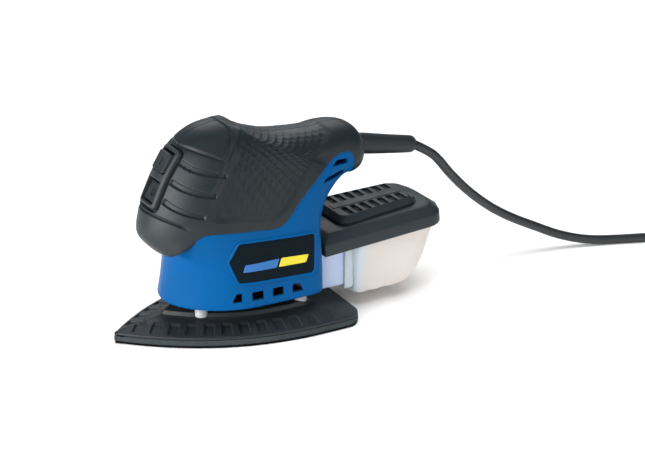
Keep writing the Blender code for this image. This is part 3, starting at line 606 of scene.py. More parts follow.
def monotone(knots, values, wanted):
    """Smooth values between knots that never overshoot them, for each column of values."""
    knots, values, wanted = (np.asarray(v, float) for v in (knots, values, wanted))
    step = np.diff(knots)[:, None]
    slope = np.diff(values, axis=0) / step
    tangent = np.zeros_like(values)
    before, after = slope[:-1], slope[1:]
    w1, w2 = 2 * step[1:] + step[:-1], step[1:] + 2 * step[:-1]
    same = before * after > 0
    safe_before, safe_after = np.where(same, before, 1), np.where(same, after, 1)
    tangent[1:-1] = np.where(same, (w1 + w2) / (w1 / safe_before + w2 / safe_after), 0)
    tangent[0], tangent[-1] = slope[0], slope[-1]
    at = np.clip(np.searchsorted(knots, wanted, side="right") - 1, 0, len(knots) - 2)
    width = step[at]
    t = ((wanted - knots[at]) / width[:, 0])[:, None]
    return ((1 + 2 * t) * (1 - t) ** 2 * values[at] + t * (1 - t) ** 2 * width * tangent[at]
            + t ** 2 * (3 - 2 * t) * values[at + 1] + t ** 2 * (t - 1) * width * tangent[at + 1])


def body_grid(rows_at, shares, sections=BODY_SECTIONS):
    """Points of the body's right half. rows_at are places along the sections, in sections;
    shares run from 0 at the inner edge of a section to 1 at its outer edge."""
    knots = travelled(np.array(sections)[:, :4])
    places = np.interp(rows_at, np.arange(len(knots)), knots)
    rows = monotone(knots, sections, places)
    turn = np.linspace(0, np.pi, 500)
    low, c, s = turn <= np.pi / 2, np.abs(np.cos(turn)), np.abs(np.sin(turn))
    grid = []
    for xi, zi, xo, zo, half, n_in, n_out in rows:
        n = np.where(low, n_in, n_out)
        share = 0.5 + np.where(low, -0.5, 0.5) * c ** (2 / n)
        ring = np.stack([xi + (xo - xi) * share, half * s ** (2 / n), zi + (zo - zi) * share], -1)
        gone = travelled(ring)
        grid.append(resampled(ring, gone, shares * gone[-1]))
    grid = np.array(grid)
    normal = np.cross(np.gradient(grid, axis=1), np.gradient(grid, axis=0))
    normal[:, [0, -1], 1] = 0
    normal /= np.maximum(np.linalg.norm(normal, axis=-1, keepdims=True), 1e-9)
    return grid, normal


def spaced(*runs):
    """Values from run to run: each run is (start, end, count)."""
    values = [np.linspace(a, b, n, endpoint=False) for a, b, n in runs]
    return np.concatenate([*values, [runs[-1][1]]])


def grid_tree(sections):
    """The whole body's surface, for finding points on it."""
    grid, _ = body_grid(spaced((0, 17, 170)), spaced((0, 1, 150)), sections)
    whole = np.concatenate([grid, grid[:, ::-1] * (1, -1, 1)], axis=1)
    count = whole.shape[1]
    points = whole.reshape(-1, 3)
    quads = []
    for i in range(whole.shape[0] - 1):
        for j in range(count - 1):
            a = i * count + j
            quads.append((a, a + 1, a + count + 1, a + count))
    return BVHTree.FromPolygons(points.tolist(), quads)


TREE, BLUE_TREE = grid_tree(BODY_SECTIONS), grid_tree(BLUE_SECTIONS)


def onto_body(point, direction, tree=TREE):
    """Where a ray from a point first meets the body, and the outward normal there."""
    hit, normal, _, _ = tree.ray_cast(Vector(point), Vector(direction))
    if normal.dot(Vector(direction)) > 0:
        normal = -normal
    return np.array(hit), np.array(normal)


def side_point(x, z, side=1):
    """The blue shell's point, and its normal, straight beside a point of the side view."""
    return onto_body((x, side * 90, z), (0, -side, 0), BLUE_TREE)


def front_path(ends, reach=0.0, spacing=1.2):
    """A path over the front, through (y, z) points, lengthened at both ends."""
    flat = even_steps(curve_through(ends, 8), spacing)
    if reach:
        first, last = flat[0] - flat[1], flat[-1] - flat[-2]
        flat = np.vstack([flat[0] + first / np.linalg.norm(first) * reach, flat,
                          flat[-1] + last / np.linalg.norm(last) * reach])
    return np.array([onto_body((-120, y, z), (1, 0, 0))[0] for y, z in flat])


def nearest_path(points, spacing=1.2):
    """A smooth path through points in space, laid onto the body."""
    dense = even_steps(curve_through(points, 8), spacing)
    return np.array([TREE.find_nearest(Vector(p))[0] for p in dense])


def shell(name, outer, inner, keep, side, material):
    """A closed wall between two grids, of the cells that are kept, on one side of the body."""
    rows, count = outer.shape[:2]
    index = np.arange(rows * count).reshape(rows, count)
    a, b = index[:-1, :-1][keep], index[:-1, 1:][keep]
    c, d = index[1:, 1:][keep], index[1:, :-1][keep]
    shift = rows * count
    quads = [np.stack([a, b, c, d], -1), np.stack([d, c, b, a], -1) + shift]
    framed = np.pad(keep, 1)
    here = framed[1:-1, 1:-1]
    for (di, dj), (p, q) in (((-1, 0), ((0, 0), (0, 1))), ((1, 0), ((1, 1), (1, 0))),
                             ((0, -1), ((1, 0), (0, 0))), ((0, 1), ((0, 1), (1, 1)))):
        edge = here & ~framed[1 + di:framed.shape[0] - 1 + di, 1 + dj:framed.shape[1] - 1 + dj]
        i, j = np.nonzero(edge)
        first, second = index[i + p[0], j + p[1]], index[i + q[0], j + q[1]]
        quads.append(np.stack([second, first, first + shift, second + shift], -1))
    quads = np.concatenate(quads)
    points = np.concatenate([outer.reshape(-1, 3), inner.reshape(-1, 3)])
    used, quads = np.unique(quads, return_inverse=True)
    quads = quads.reshape(-1, 4)
    points = points[used] * (1, side, 1)
    if side > 0:
        quads = quads[:, ::-1]
    return make_piece(name, points, quads, material, 180)


# Lower edge of the soft grip in the side view, from the chin to the underside of the handle end.
GRIP_EDGE = (
    (-80, 49), (-46, 49), (-43.8, 50.5), (-43.1, 53.2), (-42.0, 55.2), (-40.4, 57), (-38.4, 59),
    (-36.2, 61.3), (-33.7, 63.8), (-31.4, 65.7), (-28.5, 67.3), (-25.6, 68.1), (-19.5, 68.3),
    (-6.8, 67.6), (4, 66.9), (14.1, 66.1), (20.3, 67.6), (25.6, 72.4),
    (31.4, 78.5), (37.6, 83.9), (44.2, 88.7), (51.2, 93.1), (57.1, 96.6), (60.6, 98.5),
    (64.8, 99.6), (69.3, 99.4), (72.3, 97.2), (73.4, 93.8), (73.6, 89.4), (74, 70),
)
GRIP_OUTLINE = np.vstack([curve_through(GRIP_EDGE, 6), ((110, 70), (110, 140), (-80, 140))])
# Heights over the body's surface. The lip and the skirt are the widths, inside and outside the
# grip's edge, over which its rim rounds down and turns in.
GRIP_TOP, GRIP_LIP, GRIP_BACK, GRIP_SKIRT, RIM_DROP = 0.35, 1.2, -2.0, 1.3, 1.25
BLUE_TOP, BLUE_UNDER_GRIP, BLUE_BACK = -0.3, -2.4, -4.0
LABEL_OUTLINE = ((-8.0, 61.2), (40.6, 58.6), (39.0, 35.6), (-8.5, 37.4), (-13.4, 50.4))
LABEL_TOP, LABEL_BACK, LABEL_SEAT = -0.05, -0.8, -1.1
LABEL_CORNER = 2.5
PARTING = 0.05  # half the gap between the left and right pieces

SIDES = ((-1, "left"), (1, "right"))

SWITCH_CENTRE, SWITCH_LEAN = (-40.4, 0, 96.9), math.radians(32.0)
SWITCH_UP = (math.sin(SWITCH_LEAN), 0, math.cos(SWITCH_LEAN))
SWITCH_OUT = (-math.cos(SWITCH_LEAN), 0, math.sin(SWITCH_LEAN))
FRAME_WIDE, FRAME_TALL, FRAME_CORNER = 19.4, 36.0, 2.6
WINDOW_WIDE, WINDOW_TALL, WINDOW_MID = 14.6, 13.6, 9.1
MOAT, MOAT_FLOOR = 1.5, -1.9  # the gutter round the switch frame
STRAIN_HOLE = 6.0

# Lines and hollows of the cap and the palm rest, on the right side.
UPPER_GROOVE = ((-1.5, 114.5), (2.4, 114.5), (10.3, 114.2), (15.3, 113.2), (19.9, 111.6),
                (22.9, 109.9), (24.8, 108.9))
LOWER_GROOVE = ((-1.5, 78.2), (2, 78.3), (6.7, 78.3), (15.9, 76.7), (21, 75), (24.3, 73.4),
                (26.5, 71.6))
CRESCENT = ((-12.4, 24.7, 108.7), (-10.6, 24.5, 109.9), (-8.2, 23.3, 112.8), (-6.0, 21.0, 116.3),
            (-3.8, 17.3, 119.4), (-3.0, 12.8, 121.9), (-3.5, 8.1, 123.4), (-4.3, 3.5, 124.2),
            (-4.6, -1.0, 124.4))
CREASE = ((5.8, -1.0, 121.6), (5.2, 6.0, 121.6), (3.3, 14.1, 121.2), (-1.9, 20.4, 117.4),
          (-5.2, 24.2, 112.5), (-9.4, 26.2, 107.3), (-12.8, 27.4, 101.7), (-16.7, 28.0, 96.0),
          (-21.0, 28.2, 90.3), (-23.6, 28.9, 84.3), (-23.9, 30.0, 78.8), (-22.3, 31.3, 73.6))
SLOTS = (((11.7, 107.3), (26.1, 101.3)), ((12.1, 97.1), (27.3, 90.6)), ((12.7, 86.4), (27.5, 79.6)))
SLOT_HALF, SLOT_WIDENS, SLOT_DEPTH, SLOT_REACH = 1.3, 0.35, 1.5, 3.0
PALM = ((9, 140), (7.0, 122), (-0.8, 117.4), (-4.2, 112.5), (-8.6, 107.3), (-12.0, 101.7),
        (-15.9, 96.0), (-20.2, 90.3), (-22.8, 84.3), (-23.0, 78.6), (-19.5, 75.4), (-6, 74.6),
        (11, 71.9), (17.5, 72.6), (24, 77.5), (31, 85.4), (37.5, 92.6), (45, 99.2), (53, 104.2),
        (60, 108.5), (63, 113), (64, 140))
PALM_SUNK, CREASE_TALL = 0.95, 0.42
DIAMOND_WIDE, DIAMOND_TALL, DIAMOND_DEEP = 4.7, 10.2, 0.75
FAR = 99.0


def switch_gap(points):
    """How far points lie outside the switch frame's outline, seen along the frame's axis."""
    local = points - np.array(SWITCH_CENTRE)
    across = np.abs(points[..., 1]) - FRAME_WIDE / 2 + FRAME_CORNER
    along = np.abs(local @ np.array(SWITCH_UP)) - FRAME_TALL / 2 + FRAME_CORNER
    gap = (np.hypot(np.maximum(across, 0), np.maximum(along, 0))
           + np.minimum(np.maximum(across, along), 0) - FRAME_CORNER)
    return np.where(local @ np.array(SWITCH_OUT) > -16, gap, FAR)


def strain_gap(points):
    """How far points lie from the axis of the strain relief."""
    local, axis = points - np.array(STRAIN_START), np.array(STRAIN_AXIS)
    off = np.linalg.norm(local - (local @ axis)[..., None] * axis, axis=-1)
    return np.where(points[..., 0] > 60, off, FAR)


def groove(distance, half, depth):
    """A round-bottomed groove's height at distances from its line."""
    return -depth * np.exp(-(distance / half) ** 2 * 1.2)


def texture(x, girth):
    """Staggered diamond scales: each drops behind its two front edges and ramps up to the rear."""
    p, q = x / DIAMOND_WIDE + girth / DIAMOND_TALL, x / DIAMOND_WIDE - girth / DIAMOND_TALL
    fp, fq = p - np.floor(p), q - np.floor(q)
    return -DIAMOND_DEEP * (1 - np.maximum(fp, fq)) * smoothstep(0.02, 0.14, np.minimum(fp, fq))


def grip_height(points, girth, inside, deep):
    """How far the soft grip stands proud of the body surface. Its rim turns in by deep."""
    flat = points[..., [0, 2]]
    height = GRIP_TOP - RIM_DROP * (np.clip(GRIP_LIP - inside, 0, GRIP_LIP) / GRIP_LIP) ** 2
    height = np.where(inside < 0, -0.9 + inside / GRIP_SKIRT * (deep - 1.0), height)

    # the sunken palm rest and its scales, fading at its edge, low down and over the top
    palm = inside_distance(flat, curve_through([*PALM, PALM[0]], 4)[:-1])
    height -= PALM_SUNK * smoothstep(-0.6, 3.2, palm) * smoothstep(0.6, 3.0, inside)
    fade = smoothstep(1.2, 4.0, palm) * (0.45 + 0.55 * smoothstep(76, 92, points[..., 2]))
    fade = fade * (0.4 + 0.6 * smoothstep(6, 18, points[..., 1]))
    height += fade * texture(points[..., 0], girth)

    # the cap's raised crease and its crescent-shaped line, the rims beside them, and the grooves
    distance, along = path_distance(points, nearest_path(CREASE))
    height += CREASE_TALL * np.exp(-(distance / 1.1) ** 2) * smoothstep(0, 14, 66 - along)
    height += groove(path_distance(points, nearest_path(CRESCENT))[0], 0.75, 0.6)
    rim = path_distance(points, nearest_path([(x + 1.5, y + 0.5, z + 0.2)
                                              for x, y, z in CRESCENT]))[0]
    height += 0.22 * np.exp(-(rim / 0.8) ** 2)
    for line, half, depth in ((UPPER_GROOVE, 0.7, 1.3), (LOWER_GROOVE, 0.65, 1.2)):
        distance, along = path_distance(points, front_path(line))
        height += groove(distance, half, depth) * smoothstep(-1, 6, along.max() - along)
    for ends in SLOTS:
        path = front_path(ends, SLOT_REACH)
        distance, along = path_distance(points, path)
        length = travelled(path)[-1]
        half = SLOT_HALF + SLOT_WIDENS * (1 - along / length)
        depth = SLOT_DEPTH * smoothstep(0.1, -0.15, distance - half)
        for gone in (along, length - along):
            depth = depth * smoothstep(SLOT_REACH - 0.15, SLOT_REACH + 0.15, gone)
        height -= depth

    # the moat round the switch frame, the collar round the strain relief and the middle seam
    gap = switch_gap(points)
    moat = smoothstep(MOAT + 0.3, MOAT - 0.25, gap)
    height = height * (1 - moat) + MOAT_FLOOR * moat
    height += 0.15 * np.exp(-((gap - MOAT - 0.9) / 0.5) ** 2)
    height += 0.5 * smoothstep(9.4, 8.6, strain_gap(points))
    return height - 0.12 * np.exp(-(points[..., 1] / 0.35) ** 2)


def parted(grid):
    """The grid kept off the middle plane by the parting gap, its edges right beside the gap."""
    grid[:, [0, -1], 1] = 0
    grid[..., 1] = np.maximum(grid[..., 1], PARTING)
    return grid


def whole_cells(good):
    """The grid's cells that have all four corners good."""
    return good[:-1, :-1] & good[1:, :-1] & good[1:, 1:] & good[:-1, 1:]


def make_grips(material):
    """The black overmould: both halves of the cap and palm rest, with all their relief."""
    rows = spaced((2.6, 3.2, 16), (3.2, 12.0, 250), (12.0, 16.0, 90), (16.0, 17.0, 10))
    shares = spaced((0, 0.3, 26), (0.3, 1.0, 185))
    grid, normal = body_grid(rows, shares)
    steps = np.linalg.norm(np.diff(grid, axis=1), axis=-1)
    girth = np.concatenate([np.cumsum(steps[:, ::-1], axis=1)[:, ::-1],
                            np.zeros((len(rows), 1))], axis=1)
    inside = inside_distance(grid[..., [0, 2]], GRIP_OUTLINE)
    near = np.abs(inside) < 3
    deep = np.full(near.shape, -GRIP_BACK)
    deep[near] = [np.clip(BLUE_TREE.find_nearest(Vector(p))[3] + 0.8, -GRIP_BACK, 9)
                  for p in grid[near]]
    height = grip_height(grid, girth, inside, deep)
    width = np.max(grid[..., 1], axis=1)
    back = np.maximum(GRIP_BACK, -0.5 * width)[:, None] * np.ones_like(height)
    back = np.where(inside < 0.4, np.minimum(back, -deep), back)
    back = np.minimum(back, height - 0.15)
    outer = parted(grid + normal * height[..., None])
    inner = parted(grid + normal * back[..., None])
    keep = whole_cells((inside > -GRIP_SKIRT) & (switch_gap(grid) > -1.1)
                       & (strain_gap(grid) > STRAIN_HOLE))
    for side, word in SIDES:
        grip = shell(f"{word}_soft_grip", outer, inner, keep, side, material)
        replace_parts(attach(grip, "housing"), f"{word}_grip")


# ---------------------------------------------------------------- blue housing

SIDE_VENTS = (
    ((-13.0, 25.6), (-6.8, 25.6), (-6.7, 31.0), (-10.2, 31.0)),
    ((-1.2, 25.6), (6.3, 25.6), (6.3, 31.0), (-1.2, 31.0)),
    ((11.8, 25.6), (19.1, 25.6), (19.1, 31.0), (11.8, 31.0)),
    ((24.6, 25.6), (32.0, 25.6), (29.4, 31.0), (24.6, 31.0)),
)
HANDLE_VENTS = (
    ((56.9, 92.8), (68.7, 92.9), (69.0, 96.0), (61.2, 96.4)),
    ((48.6, 85.6), (61.5, 86.0), (66.8, 87.6), (66.0, 89.4), (51.6, 88.0)),
)
VENT_THINNING = 2.2  # how much thinner the wall is round the side vents
SCREW_PLACES = ((-27.0, 31.0), (42.5, 30.0), (-23.0, 58.0), (50.0, 76.0))
SCREW_POCKET_R = 3.6


def make_housings(material):
    """Both halves of the blue clamshell, with the label's seat and bead, vents and pockets."""
    rows = spaced((0, 0.06, 3), (0.06, 3.0, 50), (3.0, 12.0, 110), (12.0, 17.0, 70))
    shares = spaced((0, 0.3, 36), (0.3, 1.0, 90))
    grid, normal = body_grid(rows, shares, BLUE_SECTIONS)
    inside = inside_distance(grid[..., [0, 2]], GRIP_OUTLINE)
    label = inside_distance(grid[..., [0, 2]], rounded_outline(LABEL_OUTLINE, LABEL_CORNER))
    height = BLUE_TOP + (BLUE_UNDER_GRIP - BLUE_TOP) * smoothstep(0.7, 1.9, inside)
    on_side = grid[..., 1] > 20
    height += np.where(on_side, (LABEL_SEAT - BLUE_TOP) * smoothstep(-0.9, -0.1, label), 0)
    height -= 0.5 * np.exp(-((grid[..., 2] - BODY_SECTIONS[0][1]) / 0.5) ** 2)  # lower rim
    height -= 0.12 * np.exp(-(grid[..., 1] / 0.5) ** 2)  # middle seam
    width = np.max(grid[..., 1], axis=1)
    back = np.maximum(BLUE_BACK, -0.55 * width)[:, None] * np.ones_like(height)
    x, z = grid[..., 0], grid[..., 2]
    thin = smoothstep(-19, -16, x) * smoothstep(37, 34, x) * smoothstep(37, 34, z) * on_side
    back = back + VENT_THINNING * thin
    outer = parted(grid + normal * height[..., None])
    inner = parted(grid + normal * np.minimum(back, height - 0.4)[..., None])
    keep = whole_cells((switch_gap(grid) > -0.9) & (strain_gap(grid) > STRAIN_HOLE + 0.2))
    bead_path = label_bead_path()
    for side, word in SIDES:
        half = shell(f"{word}_blue_half", outer, inner, keep, side, material)
        cutters = []
        for kind, vents, corner, depth in (("vent", SIDE_VENTS, 0.7, 16),
                                           ("handle_vent", HANDLE_VENTS, 0.9, 2)):
            low, high = sorted((side * depth, side * 70))
            cutters += [prism(f"{kind}_{i}", rounded_outline(v, corner, 3), SIDE_VIEW, low, high)
                        for i, v in enumerate(vents)]
        cutters.append(block("outlet", (38, -12.5, 24.9), (60, 12.5, 38.5)))
        if side > 0:
            for i, (x, z) in enumerate(SCREW_PLACES):
                y = side_point(x, z)[0][1]
                cutters.append(turned(f"pocket_{i}", rod(SCREW_POCKET_R, y - 3.9, y + 6), None,
                                      (x, 0, z), (0, 1, 0), 32))
        cut(half, *cutters, sharp=30)
        gather(half, bead(f"{word}_bead", bead_path * (1, side, 1), side, material))
        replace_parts(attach(half, "housing"), f"{word}_housing")


def label_bead_path():
    """The middle line of the bead round the label, on the right side."""
    ring = grown(rounded_outline(LABEL_OUTLINE, LABEL_CORNER, 6), 0.75)
    return np.array([side_point(x, z)[0] for x, z in ring_of(ring, 1.0)])


BEAD_HALF, BEAD_TALL, BEAD_SUNK = 0.8, 0.75, 0.9


def bead(name, path, side, material):
    """A closed raised bead along a ring of points on the body's side."""
    rings = []
    for before, here, after in zip(np.roll(path, 1, axis=0), path, np.roll(path, -1, axis=0)):
        run = (after - before) / np.linalg.norm(after - before)
        normal = side_point(here[0], here[2], side)[1]
        across = np.cross(run, normal)
        across /= np.linalg.norm(across)
        rings.append([here + across * BEAD_HALF * math.cos(a)
                      + normal * (BEAD_TALL * math.sin(a) - 0.25)
                      for a in np.linspace(0, math.pi, 7)]
                     + [here + across * end - normal * BEAD_SUNK
                        for end in (-BEAD_HALF, BEAD_HALF)])
    return looped(name, rings, material, 50)


# Slanted stripes on the label, in the side view, in place of lettering.
BLUE_STRIPE = ((-6.1, 43.6), (-4.5, 47.9), (16.7, 48.3), (14.8, 43.2))
YELLOW_STRIPE = ((16.1, 43.3), (18.0, 48.4), (35.7, 47.3), (33.7, 42.8))


def make_labels(material, blue_ink, yellow_ink):
    """A black film in the seat on each side, with two plain printed stripes."""
    ring = ring_of(rounded_outline(LABEL_OUTLINE, LABEL_CORNER, 6), 1.2)
    profile = ((0, LABEL_BACK), (0, LABEL_TOP - 0.3), (0.1, LABEL_TOP - 0.08), (0.35, LABEL_TOP))
    mark = ((0, LABEL_TOP - 0.3), (0, LABEL_TOP + 0.03), (0.05, LABEL_TOP + 0.06))
    for side, word in SIDES:
        def beside(flat, height, side=side):
            point, normal = side_point(*flat, side)
            return point + normal * height

        plate = capped(f"{word}_side_label", ring, profile, beside, material, 10)
        for stripe, ink in ((BLUE_STRIPE, blue_ink), (YELLOW_STRIPE, yellow_ink)):
            gather(plate, capped("stripe", ring_of(stripe, 1.2), mark, beside, ink, 4))
        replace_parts(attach(plate, "housing"), f"{word}_label")


# ---------------------------------------------------------------- switch

def capped(name, outline, profile, locate, material=None, rings=5, sharp=40.0):
    """A solid over a flat outline. profile lists (inset, height) from the lower edge to the upper
    one, and locate turns a flat point and a height into a point in space. Both ends are closed by
    rings towards the middle, so that they follow a curved locate."""
    outline = np.asarray(outline, float)
    centre = outline.mean(axis=0)
    closing = np.linspace(0.85, 0.1, rings)
    (low_in, low), (high_in, high) = profile[0], profile[-1]
    layers = [(centre + (grown(outline, -low_in) - centre) * s, low) for s in closing[::-1]]
    layers += [(grown(outline, -inset), height) for inset, height in profile]
    layers += [(centre + (grown(outline, -high_in) - centre) * s, high) for s in closing]
    rows = [[locate(point, height) for point in flat] for flat, height in layers]
    return loft(name, rows, material, sharp)


SWITCH_AXES = (SWITCH_CENTRE, (0, -1, 0), SWITCH_UP, SWITCH_OUT)
ROCKER_PIVOT, ROCKER_TILT = -3.0, math.radians(8.0)
PAD_WIDE, PAD_TALL, ON_TOP, OFF_TOP = 13.6, 11.4, 5.5, 3.3
PAD_SLOPE = -math.tan(ROCKER_TILT)  # the pads' faces lie along the frame at rest
PAD_DISH, MARK_DEEP = 0.35, 0.9


def on_front(flat, height):
    """A point that stands out from the cap's front, seen along the switch's axis."""
    centre, across, up, out = (np.array(a, float) for a in SWITCH_AXES)
    foot = centre + across * flat[0] + up * flat[1]
    hit, _ = onto_body(foot + out * 60, -out)
    return hit + out * height


def frame_of(axes):
    """A locate function for flat axes."""
    origin, u, v, w = (np.array(a, float) for a in axes)
    return lambda flat, height: origin + u * flat[0] + v * flat[1] + w * height


def make_switch(material):
    """The switch's frame with its two windows, and the rocker with its I and O pads."""
    outline = ring_of(rounded_rectangle(FRAME_WIDE, FRAME_TALL, FRAME_CORNER), 0.8)
    frame = capped("switch_bezel", outline, ((0.4, -6.0), (0, -5.6), (0, 0.5), (0.1, 0.95),
                                             (0.4, 1.32), (0.85, 1.45)), on_front, material, 8)
    cutters = []
    for sign, word in ((1, "upper"), (-1, "lower")):
        window = ring_of(rounded_rectangle(WINDOW_WIDE, WINDOW_TALL, 0.9,
                                           middle=(0, sign * WINDOW_MID)), 0.8)
        cutters.append(capped(f"{word}_window", window, ((0, -18), (0, 1.05), (-0.12, 1.3),
                                                         (-0.4, 1.48), (-0.45, 3.5)), on_front))
    cutters.append(prism("rocker_room", rounded_rectangle(WINDOW_WIDE, 12.0, 0.8, 2),
                         SWITCH_AXES, -20, -2.4))
    cut(frame, *cutters, sharp=35)
    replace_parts(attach(frame, "housing"), "switch_frame")

    centre, across, up, out = (Vector(a) for a in SWITCH_AXES)
    tip = Matrix.Rotation(ROCKER_TILT, 3, across)
    axes = (centre + out * ROCKER_PIVOT, across, tip @ up, tip @ out)
    flat = frame_of(axes)
    rocker = capped("switch_keys", rounded_rectangle(PAD_WIDE, 2 * WINDOW_MID, 0.6, 3),
                    ((0.3, -5.6), (0, -5.3), (0, -1.7), (0.3, -1.4)), flat, material, 2)
    pads = []
    for sign, top in ((1, ON_TOP), (-1, OFF_TOP)):
        middle = np.array((0, sign * WINDOW_MID))

        def dished(point, height, middle=middle, top=top):
            u, v = (np.array(point) - middle) / (PAD_WIDE / 2, PAD_TALL / 2)
            dish = PAD_DISH * max(0.0, 1 - u * u) * max(0.0, 1 - v * v) if height >= top else 0.0
            slope = PAD_SLOPE * (point[1] - middle[1]) if height > 0 else 0.0
            return flat(point, height + slope - dish)

        pad = ring_of(rounded_rectangle(PAD_WIDE, PAD_TALL, 1.1, middle=middle), 0.8)
        pads.append(capped(f"pad_{sign}", pad, ((0.2, -4.8), (0, -4.6), (0, top - 0.75),
                                                (0.1, top - 0.35), (0.38, top - 0.09),
                                                (0.8, top)), dished, material, 7))
    join(rocker, *pads, sharp=35)
    stroke = prism("on_mark", rounded_rectangle(0.95, 5.0, 0.4, 3, (0, WINDOW_MID)), axes,
                   ON_TOP - MARK_DEEP, ON_TOP + 2)
    loop = prism("off_mark", oval(2.05, 2.65, (0, -WINDOW_MID)), axes, OFF_TOP - MARK_DEEP,
                 OFF_TOP + 2)
    cut(loop, prism("off_island", oval(1.2, 1.8, (0, -WINDOW_MID)), axes, OFF_TOP - 2,
                    OFF_TOP + 4))
    cut(rocker, stroke, loop, sharp=35)
    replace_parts(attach(rocker, "rocker"), "switch_rocker")


def oval(wide, tall, centre, steps=28):
    """An ellipse's outline."""
    return [(centre[0] + wide * math.cos(math.tau * i / steps),
             centre[1] + tall * math.sin(math.tau * i / steps)) for i in range(steps)]


# ---------------------------------------------------------------- sole

SOLE_LENGTH, SOLE_NOSE_X = 140.0, -72.0
SOLE_HALF, SOLE_WIDEST_X = 47.0, 37.0
REAR_HALF, REAR_CORNER, REAR_BOW = 46.5, 11.7, 0.5
HOOK_TOP, FOAM_TOP, RIM_TOP = 1.6, 5.2, 7.0
LEG_R, LEG_PLACES = 3.7, ((-23.0, -13.6), (-23.0, 13.6), (36.5, -23.5), (36.5, 23.5))
ORBIT = 0.75
SOLE_MIDDLE = np.array((4.0, 0.0))
# The flange's shallow pockets: how many on each side of the nose, their pitch, the first one's
# place along the edge, their width, how far in from the edge they start and end, and their depth.
POCKETS, POCKET_PITCH, POCKET_FIRST, POCKET_WIDE = 12, 10.7, 13.5, 6.0
POCKET_OUT, POCKET_IN, POCKET_DEEP = 2.7, 12.3, 1.1
# The plate's height at shares of the way out from its middle, its edge, and the foam's edge.
PLATE_SHARES = (0.59, 0.605, 0.62, 0.65, 0.70, 0.80, 1.0)
PLATE_HEIGHTS = (14.5, 14.2, 12.2, 11.35, 10.7, 9.6, RIM_TOP)
PLATE_EDGE = ((6.0, FOAM_TOP), (0.5, FOAM_TOP), (0.2, FOAM_TOP + 0.3), (0.2, RIM_TOP - 0.85),
              (0.33, RIM_TOP - 0.4), (0.6, RIM_TOP - 0.12))
FOAM_EDGE = ((0.9, HOOK_TOP), (0.25, HOOK_TOP + 0.1), (0.02, HOOK_TOP + 0.5), (0.0, 3.3),
             (0.05, FOAM_TOP - 0.8), (0.3, FOAM_TOP - 0.35), (0.9, FOAM_TOP - 0.3))
BOSS = ((0, 8), (14, 8), (14, 18.9), (13.7, 19.2), (0, 19.2))
LEG = ((0, 12.3), (3.4, 12.3), (3.62, 12.4), (3.7, 12.7), (3.7, 15.6), (3.5, 15.9), (3.3, 16.1),
       (3.3, 16.5), (3.5, 16.7), (3.62, 17.0), (3.62, 20.4), (3.4, 20.8), (3.4, 23.2), (3.7, 23.6),
       (3.7, 25.0), (3.4, 25.4), (0, 25.4))
LEG_SEAT_FLOOR = 12.0


def sole_outline(spacing=0.45):
    """The mouse shape in plan, from the nose round the right side, at an even spacing."""
    reach = SOLE_WIDEST_X - SOLE_NOSE_X
    t = np.linspace(0, 1, 90)[1:, None]
    x = SOLE_NOSE_X + t * reach
    y = (t ** 3 - 2 * t ** 2 + t) * reach + (3 * t ** 2 - 2 * t ** 3) * SOLE_HALF
    rear = SOLE_NOSE_X + SOLE_LENGTH
    turn = np.linspace(0, math.pi / 2, 16)[:, None]
    corner = np.hstack([rear - REAR_BOW - REAR_CORNER * (1 - np.sin(turn)),
                        REAR_HALF - REAR_CORNER * (1 - np.cos(turn))])
    side = np.vstack([[(SOLE_NOSE_X, 0), (SOLE_NOSE_X + 0.25, 0.95)],
                      np.hstack([x, y]), corner, [(rear, 0)]])
    whole = np.vstack([side, side[-2:0:-1] * (1, -1), side[:1]])
    return even_steps(whole, spacing)[:-1]


def at_height(flat, z):
    """Points of the plan lifted to a height, or each to its own."""
    return np.column_stack([flat, np.broadcast_to(z, len(flat))])


def pocket_depth(points, outline):
    """How deep the flange's shallow pockets lie at points of the plan."""
    flat = np.dstack([points, np.zeros(points.shape[:-1])])
    closed = at_height(np.vstack([outline, outline[:1]]), 0)
    gap, along = path_distance(flat, closed[::4])
    along = np.minimum(along, travelled(closed)[-1] - along)
    place = (along - POCKET_FIRST) / POCKET_PITCH
    within = np.abs(place - np.round(place)) * POCKET_PITCH
    real = (np.round(place) >= 0) & (np.round(place) < POCKETS)
    across = smoothstep(POCKET_WIDE / 2 + 0.3, POCKET_WIDE / 2 - 0.3, within)
    deep = smoothstep(POCKET_OUT - 0.3, POCKET_OUT + 0.3, gap)
    deep = deep * smoothstep(POCKET_IN + 0.3, POCKET_IN - 1.8, gap)
    return np.where(real, across * deep, 0) * POCKET_DEEP


